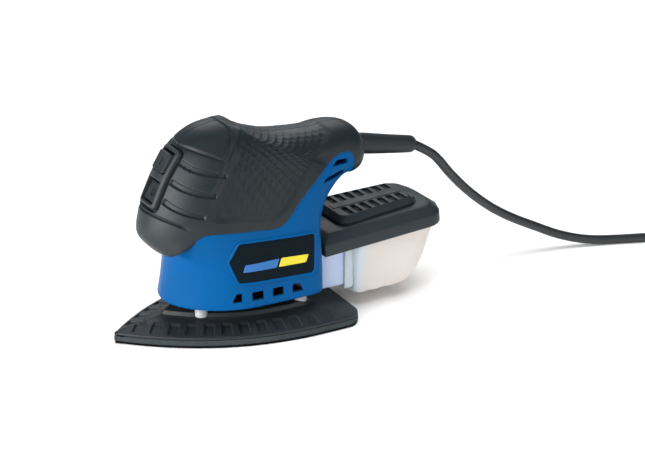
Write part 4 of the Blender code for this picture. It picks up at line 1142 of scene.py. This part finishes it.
def make_sole(plastic, foam, hook, leg):
    """The base plate, the foam under it, the hook layer and the four legs."""
    outline = sole_outline()
    shares = np.concatenate([np.linspace(1, 0.68, 50), np.linspace(0.675, 0.59, 14)])
    inner = SOLE_MIDDLE + (grown(outline, -1.0) - SOLE_MIDDLE) * shares[:, None, None]
    top = np.interp(shares, PLATE_SHARES, PLATE_HEIGHTS)
    depth = pocket_depth(inner, outline)
    rows = [at_height(grown(outline, -inset), z) for inset, z in PLATE_EDGE]
    rows += [at_height(flat, z - deep) for flat, z, deep in zip(inner, top, depth)]
    rows.append(at_height(SOLE_MIDDLE + (inner[-1] - SOLE_MIDDLE) * 0.985, PLATE_HEIGHTS[0]))
    plate = loft("sole_plate", rows, plastic, 30)
    centre = (ORBIT, 0, 0)
    join(plate, turned("bearing_boss", BOSS, plastic, centre))
    cutters = [turned(name, rod(*shape), None, centre)
               for name, shape in (("bearing_bore", (11.3, 11.9, 40)),
                                   ("screw_recess", (7, -1, 9.9)), ("screw_way", (3, 5, 20)))]
    seat = rod(LEG_R + 0.3, LEG_SEAT_FLOOR, 30)
    cutters += [turned(f"leg_seat_{i}", seat, None, (x, y, 0), steps=32)
                for i, (x, y) in enumerate(LEG_PLACES)]
    cut(plate, *cutters, sharp=30)
    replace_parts(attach(plate, "pad"), "base_plate")

    rng = np.random.default_rng(SEED)
    wave = np.convolve(rng.normal(0, 1, len(outline) + 8), np.ones(9) / 9, "valid") * 0.10
    rows = []
    for inset, z in FOAM_EDGE:
        sunk = inset + np.clip(wave, 0, 0.2) * (inset < 0.4)
        rows.append(at_height(outline + (grown(outline, -1.0) - outline) * sunk[:, None], z))
    pad = loft("foam_band", rows, foam, 60)
    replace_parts(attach(pad, "pad"), "foam_pad")

    make_hook_layer(outline, hook)
    for i, (x, y) in enumerate(LEG_PLACES, 1):
        post = turned(f"elastic_leg_{i}", LEG, leg, (x, y, 0), steps=40)
        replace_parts(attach(post, "pad"), f"support_leg_{i}")


HOOK_EDGE = ((1.6, 0.05), (0.75, 0.18), (0.75, 1.2), (1.3, 1.3))
TUFTS = 2600
TUFT_SHAPE = ((0.0, 0.13), (0.55, 0.10), (1.0, 0.05))  # share of its length, radius


def make_hook_layer(outline, material):
    """The hook-and-loop layer: a thin slab whose cut edge shows its ragged pile."""
    rng = np.random.default_rng(SEED + 1)
    base = grown(outline, -0.75)
    slab = loft("hook_pile", [at_height(grown(outline, -inset), z) for inset, z in HOOK_EDGE],
                material, 60)
    points, faces = [], []
    normal = grown(outline, 0.0) - base
    normal /= np.linalg.norm(normal, axis=1, keepdims=True)
    for _ in range(TUFTS):
        i = rng.integers(len(base))
        z = rng.uniform(0.22, 1.1)
        foot = np.array((*(base[i] + rng.normal(0, 0.1, 2) - normal[i] * 0.1), z))
        out = np.array((*normal[i], 0)) * rng.uniform(0.35, 0.72)
        side = np.array((-normal[i][1], normal[i][0], 0))
        sway = side * rng.normal(0, 0.16) + np.array((0, 0, rng.normal(0, 0.10)))
        start = len(points)
        for reach, wide in TUFT_SHAPE:
            spot = foot + out * reach + sway * reach ** 2
            for k in range(3):
                turn = math.tau * k / 3
                points.append(spot + side * wide * math.cos(turn)
                              + np.array((0, 0, wide * math.sin(turn))))
        for ring in (0, 3):
            for k in range(3):
                m = (k + 1) % 3
                faces.append((start + ring + k, start + ring + m, start + ring + 3 + m,
                              start + ring + 3 + k))
        faces += [(start + 2, start + 1, start), (start + 6, start + 7, start + 8)]
    points = np.array(points)
    points[:, 2] = np.clip(points[:, 2], 0.02, HOOK_TOP)
    tufts = make_piece("tufts", points, faces, material, 180)
    gather(slab, tufts)
    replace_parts(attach(slab, "pad"), "hook_layer")


# ---------------------------------------------------------------- dust box

BOX_TILT = math.radians(3.9)
BOX_AXES = ((49.6, 0, 40.2), (math.cos(BOX_TILT), 0, math.sin(BOX_TILT)), (0, 1, 0),
            (-math.sin(BOX_TILT), 0, math.cos(BOX_TILT)))
# Plan shapes: front x, rear x, half-width in front and at the rear, rear and front corner.
LID = (0, 86.6, 30.3, 29.0, 14.0, 1.0)
PLATEAU = (17, 73.5, 20.0, 16.6, 8.0, 6.5)
LID_SLOTS, SLOT_FIRST, SLOT_PITCH, SLOT_LONG = 7, 24.9, 6.2, 3.8
SLOT_NEAR, SLOT_FAR, SLOT_TAPER, SLAT_HOLD = 4.4, 16.2, 0.35, 0.3
# (inset, height) of the lid's and the plateau's outsides and of the groove at the plateau's foot
LID_SIDE = ((0.3, 0), (0.03, 0.3), (0, 0.7), (0.1, 6.3), (0.2, 6.8), (0.55, 7.25), (6.1, 11.25),
            (6.7, 11.42))
PLATEAU_SIDE = ((0.1, 9.6), (0.1, 12.6), (0.35, 13.3), (0.75, 13.6), (2.7, 15.9), (2.95, 16.12),
                (3.4, 16.2))
FOOT_GROOVE = ((-1.35, 12.6), (-1.15, 11.1), (-0.7, 10.72), (-0.2, 10.72), (0.13, 11.0),
               (0.13, 12.6))
BIN_LEVELS = (  # front x, rear x, half-width, rear corner, height of the front and of the rear
    (77.0, 106.0, 19.5, 8.5, 8.0, 8.6),
    (74.2, 112.5, 21.9, 9.6, 8.9, 10.0),
    (73.1, 116.5, 22.9, 10.2, 10.9, 12.2),
    (72.4, 121.5, 24.0, 11.0, 16.0, 18.0),
    (71.8, 130.4, 27.0, 12.0, 40.9, 45.1),
)
BIN_WALL, NECK_HALF, NECK_MID, COLLAR_MID = 1.6, 22.0, 27.9, 27.2
NECK_AXES = ((0, 0, NECK_MID), *REAR_VIEW[1:])


def corner_arc(front, half, corner, steps):
    """A plan outline's front corner, from its front edge round to its side."""
    turns = [math.radians(90 * i / steps) for i in range(steps + 1)]
    return [(front + corner * (1 - math.cos(t)), half - corner * (1 - math.sin(t))) for t in turns]


def mirrored(side):
    """A whole outline from the half of it on the +Y side."""
    return side + [(x, -y) for x, y in reversed(side)]


def lid_ring(shape, inset, height, steps=8):
    """A plan outline that narrows to the rear, with four rounded corners, in the tilted box."""
    front, rear, front_half, rear_half, corner, front_corner = shape
    front, rear = front + inset, rear - inset
    front_half, rear_half = front_half - inset, rear_half - inset * 0.95
    corner = max(corner - 0.75 * inset, 1.0)
    front_corner = max(front_corner - 0.6 * inset, 0.7)
    side = corner_arc(front, front_half, front_corner, steps)
    for i in range(2 * steps + 1):
        turn = math.radians(78 * i / (2 * steps))
        side.append((rear - corner + corner * math.sin(turn) * 0.9,
                     rear_half - corner * (1 - math.cos(turn)) * 0.95))
    side.append((rear + 0.6, rear_half * 0.42))
    place = frame_of(BOX_AXES)
    return [place(p, height) for p in mirrored(side)]


def lid_loft(name, shape, levels, material=None, sharp=35):
    """A solid through lid_ring's outlines at (inset, height) levels."""
    return loft(name, [lid_ring(shape, inset, height) for inset, height in levels], material, sharp)


def make_lid(material):
    """The black lid: a raised slotted plateau with a groove round its foot and a spine along it."""
    lid = lid_loft("dust_box_lid", LID, LID_SIDE, material)
    join(lid, lid_loft("plateau", PLATEAU, PLATEAU_SIDE, material), sharp=35)
    cut(lid, looped("foot_groove", [lid_ring(PLATEAU, *level) for level in FOOT_GROOVE]), sharp=35)
    cut(lid, lid_loft("lid_hollow", LID, ((1.8, -5), (1.8, 5.6), (7.6, 9.3))),
        lid_loft("plateau_hollow", PLATEAU, ((2.2, 5), (2.2, 12.6), (3.8, 14.5))), sharp=35)
    slots, slats = [], []
    place = frame_of(BOX_AXES)
    for i in range(LID_SLOTS):
        start, outer = SLOT_FIRST + SLOT_PITCH * i, SLOT_FAR - SLOT_TAPER * i
        near, far = start - 0.9, start + SLOT_LONG + 0.4
        ramp = ((near, 12.9), (far, 15.4), (far, 14.5), (start + 0.1, 12.4), (near, 12.4))
        for side in (-1, 1):
            middle = ((2 * start + SLOT_LONG) / 2, side * (SLOT_NEAR + outer) / 2)
            outline = rounded_rectangle(SLOT_LONG, outer - SLOT_NEAR, 0.5, 3, middle)
            slots.append(loft("slot", [[place(p, h) for p in outline] for h in (11.9, 20)]))
            ends = (side * (SLOT_NEAR - SLAT_HOLD), side * (outer + SLAT_HOLD))
            slats.append(loft("slat", [[place((a, b), h) for a, h in ramp] for b in ends]))
    cut(lid, gather(*slots), sharp=35)
    join(lid, gather(*slats), sharp=35)
    rib = rounded_rectangle(47.5, 7.0, 1.4, middle=(45.0, 0))
    spine = capped("spine", rib, ((0, 15.2), (0, 16.3), (0.12, 16.48), (0.4, 16.55)), place,
                   material, 2)
    join(lid, spine, sharp=35)
    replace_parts(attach(lid, "dust_box"), "dust_lid")


def bin_ring(row, inset, lift, steps=8):
    """The bin's outline at one of its levels, or inset and lifted for its hollow."""
    front, rear, half, corner, z_front, z_rear = row
    front, rear, half = front + inset, rear - inset, half - inset
    front_corner, rear_corner = max(6.0 - inset, 1), max(corner - inset, 1)
    side = corner_arc(front, half, front_corner, steps)
    side += [(x, half) for x in np.linspace(front + front_corner, rear - rear_corner, 14)[1:-1]]
    for i in range(steps + 1):
        turn = math.radians(90 * i / steps)
        side.append((rear - rear_corner * (1 - math.sin(turn)),
                     half - rear_corner * (1 - math.cos(turn))))
    slope = (z_rear - z_front) / (rear - front)
    ring = []
    for x, y in mirrored(side):
        wave = 0.28 * math.sin(x * 0.62) * (1 - float(smoothstep(9, 19, z_front)))
        ring.append((x, y, z_front + slope * (x - front) + lift + wave))
    return ring


def make_bin(material):
    """The milky bin, open on top, with the collar that takes the neck."""
    rows = np.array(BIN_LEVELS)
    knots = travelled(rows)
    levels = monotone(knots, rows, np.concatenate([np.linspace(0, knots[3], 12),
                                                   np.linspace(knots[3], knots[4], 7)[1:]]))
    cup = loft("dust_cup", [bin_ring(row, 0, 0) for row in levels], material, 50)
    outline = rounded_rectangle(2 * NECK_HALF + 2.6, 27.2, 2.4, middle=(0, COLLAR_MID))
    collar = capped("bin_collar", outline, ((0.5, 66.6), (0.1, 66.8), (0, 67.2), (0, 71.0),
                                            (0.4, 71.6), (0.9, 72.6)), frame_of(REAR_VIEW),
                    material, 1)
    join(cup, collar, sharp=50)
    hollow = [bin_ring(row, BIN_WALL, BIN_WALL) for row in levels]
    hollow.append([(x, y, z + 6) for x, y, z in hollow[-1]])
    cut(cup, loft("bin_hollow", hollow),
        prism("collar_hole", rounded_rectangle(2 * NECK_HALF + 0.5, 23.9, 1.6), NECK_AXES, 60,
              71.2),
        block("bin_doorway", (60, -9.0, 27.5), (76, 9.0, 35.8)), sharp=50)
    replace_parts(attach(cup, "dust_box"), "dust_bin")


def make_neck(material):
    """The clear duct between the housing and the bin, with its tongue in the housing's outlet."""
    axes = frame_of(NECK_AXES)
    body = capped("dust_duct", rounded_rectangle(2 * NECK_HALF, 23.4, 1.5),
                  ((0.35, 49.2), (0, 49.6), (0, 70.6), (0.3, 70.9)), axes, material, 1, 50)
    tongue = capped("duct_tongue", rounded_rectangle(24, 12.6, 1.2, middle=(0, 3.8)),
                    ((0.4, 41.0), (0, 41.6), (0, 50.5)), axes, material, 1, 50)
    join(body, tongue, sharp=50)
    cut(body, block("duct_way", (30, -10.2, 27.2), (80, 10.2, 36.2)), sharp=50)
    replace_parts(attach(body, "dust_box"), "dust_neck")


# ---------------------------------------------------------------- strain relief, screws and plug

SLEEVE = (  # distance along the sleeve, radius
    (-12, 6.35), (-4, 6.35), (0, 6.35),
    *((d, 6.5 - 1.15 * d / 34.5) for d in (3, 7, 11, 15, 19, 23, 27, 31, 34.5)),
    (35.6, 5.3), (36.6, 5.1), (37.5, 4.7), (38.2, 4.1), (38.6, 3.3),
)
SLEEVE_BEND = 0.00045  # how far it rises off its axis, per square millimetre along
PLUG_LONG, PLUG_WIDE, PLUG_THICK, PLUG_BOOT = 44.7, 44.0, 19.0, 11.0
FUSE_AT, PLUG_SCREW_AT = PLUG_BOOT + 24.5, PLUG_BOOT + 14
PLUG_PINS = (  # node, place along and across, size along and across, height, insulated height
    ("earth_pin", PLUG_BOOT + 34.6, 0, 8.0, 4.0, 22.7, 0),
    ("live_pin", PLUG_BOOT + 12.4, 11.1, 4.0, 6.35, 17.7, 9.0),
    ("neutral_pin", PLUG_BOOT + 12.4, -11.1, 4.0, 6.35, 17.7, 9.0),
)


def make_strain_relief(material):
    """A tapered sleeve that bends up a little and ends in a rounded collar."""
    start, axis = np.array(STRAIN_START), np.array(STRAIN_AXIS)
    rings = []
    for distance, radius in SLEEVE:
        gone = max(0.0, distance)
        centre = start + axis * distance + (0, 0, SLEEVE_BEND * gone ** 2)
        tilt = axis[2] + 2 * SLEEVE_BEND * gone
        up = np.array((-tilt, 0, 1)) / math.hypot(tilt, 1)
        rings.append([centre + radius * (math.cos(a) * np.array((0, 1, 0)) + math.sin(a) * up)
                      for a in np.linspace(0, math.tau, 41)[:-1]])
    sleeve = loft("cord_sleeve", rings, material, 50)
    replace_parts(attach(sleeve, "housing"), "strain_relief")
    return sleeve


def make_screws(material):
    """Cross-head case screws, their heads level with the CAD's."""
    for i, (x, z) in enumerate(SCREW_PLACES, 1):
        y = float(np.array(frame["nodes"][f"housing_screw_{i}"].bound_box)[:, 1].max()) / MM
        profile = ((0, y - 9.0), (1.7, y - 9.0), (1.7, y - 2.2), (3.2, y - 2.2), (3.2, y - 1.1),
                   (2.9, y - 0.55), (2.2, y - 0.15), (1.1, y), (0, y + 0.03))
        screw = turned(f"case_screw_{i}", profile, material, (x, 0, z), (0, 1, 0), 36, 30)
        for a, b in ((1.65, 0.36), (0.36, 1.65)):
            cut(screw, block("slot", (x - a, y - 1.1, z - b), (x + a, y + 1, z + b)), sharp=30)
        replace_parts(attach(screw, "housing"), f"housing_screw_{i}")


def make_plug(entry, heading, material, metal):
    """A moulded three-pin plug on its back, with its ribbed boot towards the coil."""
    along = np.array((*heading, 0.0))
    across = np.array((-heading[1], heading[0], 0.0))
    origin = np.array((*entry, 0.0))
    axes = (origin, along, across, (0, 0, 1))
    place = frame_of(axes)
    far, half, high = PLUG_BOOT + PLUG_LONG, PLUG_WIDE / 2, PLUG_THICK
    corners = [(PLUG_BOOT, -12.5), (PLUG_BOOT + 12, -half), (far - 4, -half), (far, -half + 6),
               (far, half - 6), (far - 4, half), (PLUG_BOOT + 12, half), (PLUG_BOOT, 12.5)]
    outline = ring_of(rounded_outline(corners, 5.0, 5), 1.5)
    side = ((2.2, 0.25), (0.9, 0.75), (0.2, 2.0), (0, 3.5), (0, 12.3), (0.35, 12.6), (0.35, 13.1),
            (0, 13.4), (0.1, high - 1.4), (0.5, high - 0.5), (1.3, high - 0.1), (2.2, high))
    body = capped("mains_plug", outline, side, place, material, 2)
    rings = []
    for k in range(30):
        a = (PLUG_BOOT + 5) * k / 29
        ridge = 0.55 * (0.5 - 0.5 * math.cos(math.tau * a / 2.9)) if 1 < a < 10 else 0.5
        radius = 4.6 + 1.5 * a / 16 + ridge - 0.5
        rings.append([origin + along * (a + 0.02) + across * radius * math.cos(t)
                      + np.array((0, 0, TAIL_Z + radius * math.sin(t)))
                      for t in np.linspace(0, math.tau, 33)[:-1]])
    join(body, loft("plug_boot", rings), sharp=40)
    screw_spot = origin + along * PLUG_SCREW_AT
    seats = [prism("fuse_gap", rounded_rectangle(8.4, 19.4, 1.0, middle=(FUSE_AT, 0)), axes,
                   high - 1.2, high + 3),
             turned("screw_well", rod(2.9, high - 2.2, high + 3), None, screw_spot, steps=32)]
    for name, a, b, long_a, long_b, *_ in PLUG_PINS:
        flat = rounded_rectangle(long_a + 0.6, long_b + 0.6, 0.5, 2, (a, b))
        seats.append(prism(f"{name}_seat", flat, axes, high - 4, high + 30))
    cut(body, *seats, sharp=40)
    carrier = capped("fuse_carrier", rounded_rectangle(7.8, 18.8, 0.9, middle=(FUSE_AT, 0)),
                     ((0, high - 1.4), (0, high - 0.35), (0.25, high - 0.12),
                      (0.6, high - 0.05)), place, material, 2)
    notch = rounded_rectangle(5.0, 1.2, 0.4, middle=(FUSE_AT, 0))
    cut(carrier, prism("carrier_notch", notch, axes, high - 0.7, high + 2), sharp=40)
    gather(body, carrier)
    screw = turned("plug_screw", ((0, high - 2.4), (2.6, high - 2.4), (2.6, high - 1.2),
                                  (2.0, high - 0.8), (0, high - 0.7)), metal, screw_spot, steps=32)
    x, y, _ = screw_spot
    cut(screw, block("slot", (x - 2.2, y - 0.4, high - 1.5), (x + 2.2, y + 0.4, high + 1)),
        sharp=40)
    gather(body, screw)
    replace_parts(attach(body, "housing"), "plug_body")
    made = [body]
    for name, a, b, long_a, long_b, tall, insulated in PLUG_PINS:
        flat = rounded_rectangle(long_a, long_b, 0.5, 3, (a, b))
        top = high + tall
        pin = capped(f"plug_{name}", flat, ((0, high - 3.7), (0, top - 1.6), (0.3, top - 0.7),
                                            (0.9, top)), place, metal, 1)
        if insulated:
            gather(pin, capped("skin", grown(flat, 0.02), ((0, high - 3.6), (0, high + insulated)),
                               place, material, 1))
        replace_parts(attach(pin, "housing"), name)
        made.append(pin)
    return made


# ---------------------------------------------------------------- finishes

def metal(name, colour, rough, brushed):
    """Machined metal: fine turning lines and a little tarnish."""
    g = Graph(name, rough, 1.0)
    lines = g.noise(brushed, 3, g.stretched(1, 1, 14))
    marks = g.noise(60, 5)
    g.colour(g.blend(g.ranged(marks, 0, 1, 0.35, 0.75), tint(colour, 0.78), tint(colour, 1.1)))
    g.rough(g.ranged(lines, rough - 0.1, rough + 0.14, 0.3, 0.7))
    return g.finish(g.bump(lines, 0.00003, 0.5))


def wound_copper():
    """Enamelled wire lying in turns."""
    g = Graph("copper_turns", 0.3, 1.0)
    turns = g.add("ShaderNodeTexWave", {"Vector": g.where, "Scale": 900.0, "Distortion": 0.6,
                                        "Detail": 1.0}, bands_direction="DIAGONAL")
    wire = turns.outputs["Fac"]
    g.colour(g.blend(wire, (0.22, 0.06, 0.02, 1), (0.75, 0.32, 0.13, 1)))
    return g.finish(g.bump(wire, 0.0002, 0.8))


def open_foam():
    """Open-cell foam: small dark pores in a grey skin."""
    g = Graph("foam_cells", 0.9, Specular_IOR_Level=0.3)
    soft = g.noise(160, 4)
    pits = g.ranged(g.cells(1500), 0, 1, 0.05, 0.55)
    g.colour(g.blend(g.weighed(pits, soft, 0.7), (0.014, 0.018, 0.020, 1),
                     (0.048, 0.058, 0.063, 1)))
    return g.finish(g.bump(pits, 0.00016, 0.9, g.bump(soft, 0.0003, 0.3)))


def hook_fabric():
    """The hook layer's dark woven pile."""
    g = Graph("hook_weave", 0.95, Specular_IOR_Level=0.15)
    weave = g.cells(1300)
    g.colour(g.blend(g.ranged(weave, 0, 1, 0, 0.6), (0.014, 0.014, 0.015, 1),
                     (0.004, 0.004, 0.005, 1)))
    return g.finish(g.bump(weave, 0.0004, 1.0))


# Along the tool, in metres, where the bin's painted reflection of the blue housing fades out.
REFLECTION_REACH = 0.074, 0.083  # along the tool, in metres


def milky(name, colour, shade, rough, weight, reflected_blue=None):
    """Translucent moulded plastic, cloudy, with flow marks and a little dust inside."""
    g = Graph(name, rough, Subsurface_Weight=weight, Subsurface_Scale=0.004,
              Subsurface_Radius=(1.0, 0.9, 0.85), IOR=1.46)
    cloud, flow = g.noise(28, 5, None, 0.8), g.noise(40, 3, g.stretched(0.4, 1, 2.4))
    specks = g.ranged(g.cells(420), 0.0, 1.0, 0.02, 0.16)
    tone = g.ranged(g.weighed(cloud, flow, 0.65), 0, 1, 0.32, 0.7)
    body = g.blend(tone, shade, colour)
    if reflected_blue:  # a painted reflection of the blue housing, bluish towards the bin's front
        along = g.add("ShaderNodeSeparateXYZ", {"Vector": g.where}).outputs["X"]
        body = g.blend(g.ranged(along, 0, 1, *REFLECTION_REACH), reflected_blue, body)
    g.colour(g.blend(g.ranged(specks, 0.05, 0.0), body, tint(shade[:3], 0.82)))
    g.rough(g.ranged(cloud, rough - 0.08, rough + 0.12, 0.3, 0.7))
    return g.finish(g.bump(flow, 0.00025, 0.25, g.bump(cloud, 0.0004, 0.25)))


def paper():
    """The filter's pale fleece."""
    g = Graph("filter_fleece", 0.95)
    fibres = g.noise(700, 5, g.stretched(1, 3, 1), 1.5)
    g.colour(g.blend(fibres, (0.55, 0.5, 0.41, 1), (0.85, 0.81, 0.72, 1)))
    return g.finish(g.bump(fibres, 0.0003, 0.8))


# ---------------------------------------------------------------- assembly

make_stage()
BLUE = moulded("blue_plastic", (0.0, 0.083, 0.262), 0.38, 0.00002, 2600, 0.06,
               Specular_IOR_Level=0.06)
RUBBER = moulded("grip_rubber", (0.008, 0.013, 0.016), 0.45, 0.00004, 2200, 0.14,
                 Specular_IOR_Level=0.36)
BLACK = moulded("black_plastic", (0.014, 0.018, 0.021), 0.48, 0.00003, 2400, 0.12,
                Specular_IOR_Level=0.4)
LID_BLACK = moulded("lid_plastic", (0.016, 0.022, 0.026), 0.5, 0.00003, 2400, 0.1,
                    Specular_IOR_Level=0.34)
FILM = moulded("label_film", (0.003, 0.008, 0.012), 0.32, 0.00001, 3000, 0.1,
               Specular_IOR_Level=0.05)
PVC = moulded("cord_pvc", (0.016, 0.018, 0.020), 0.42, 0.00003, 1800, 0.15)
PALE = moulded("leg_plastic", (0.50, 0.51, 0.53), 0.45, 0.00002, 2200, 0.06)
CREAM = moulded("inner_plastic", (0.5, 0.47, 0.4), 0.5, 0.00003, 2000, 0.08)
CARBON = moulded("pressed_carbon", (0.03, 0.03, 0.032), 0.62, 0.00006, 3000, 0.3)
# The last colour is a painted reflection of the blue housing on the bin's front.
MILKY = milky("milky_plastic", (0.74, 0.67, 0.63, 1), (0.66, 0.61, 0.56, 1), 0.38, 0.35,
              (0.58, 0.66, 0.72, 1))
# The duct's bluish colour is a painted reflection of the blue housing in clear plastic.
CLEAR = milky("clear_plastic", (0.64, 0.74, 1.0, 1), (0.54, 0.64, 0.94, 1), 0.3, 0.3)
STEEL = metal("machined_steel", (0.55, 0.56, 0.57), 0.3, 900)
BRASS = metal("satin_brass", (0.75, 0.55, 0.22), 0.32, 700)
INNER = {
    "steel": STEEL, "copper": wound_copper(), "brass": BRASS, "carbon": CARBON,
    "inner_plastic": CREAM, "filter_paper": paper(), "black_plastic": BLACK,
}

make_grips(RUBBER)
make_housings(BLUE)
make_labels(FILM, moulded("blue_ink", (0.01, 0.13, 0.40), 0.4, 0.00001, 3000, 0.06),
            moulded("yellow_ink", (0.75, 0.62, 0.02), 0.4, 0.00001, 3000, 0.06))
make_switch(BLACK)
make_sole(BLACK, open_foam(), hook_fabric(), PALE)
make_lid(LID_BLACK)
make_bin(MILKY)
make_neck(CLEAR)
sleeve = make_strain_relief(BLACK)
make_screws(STEEL)
cord, entry, heading = make_cord(PVC)
plug = make_plug(entry, heading, BLACK, BRASS)

for node in frame["nodes"].values():  # the CAD's own inner pieces that stay in sight
    if not node.hide_render:
        node.data.materials[0] = INNER[node.data.materials[0].name.split(".")[0]]
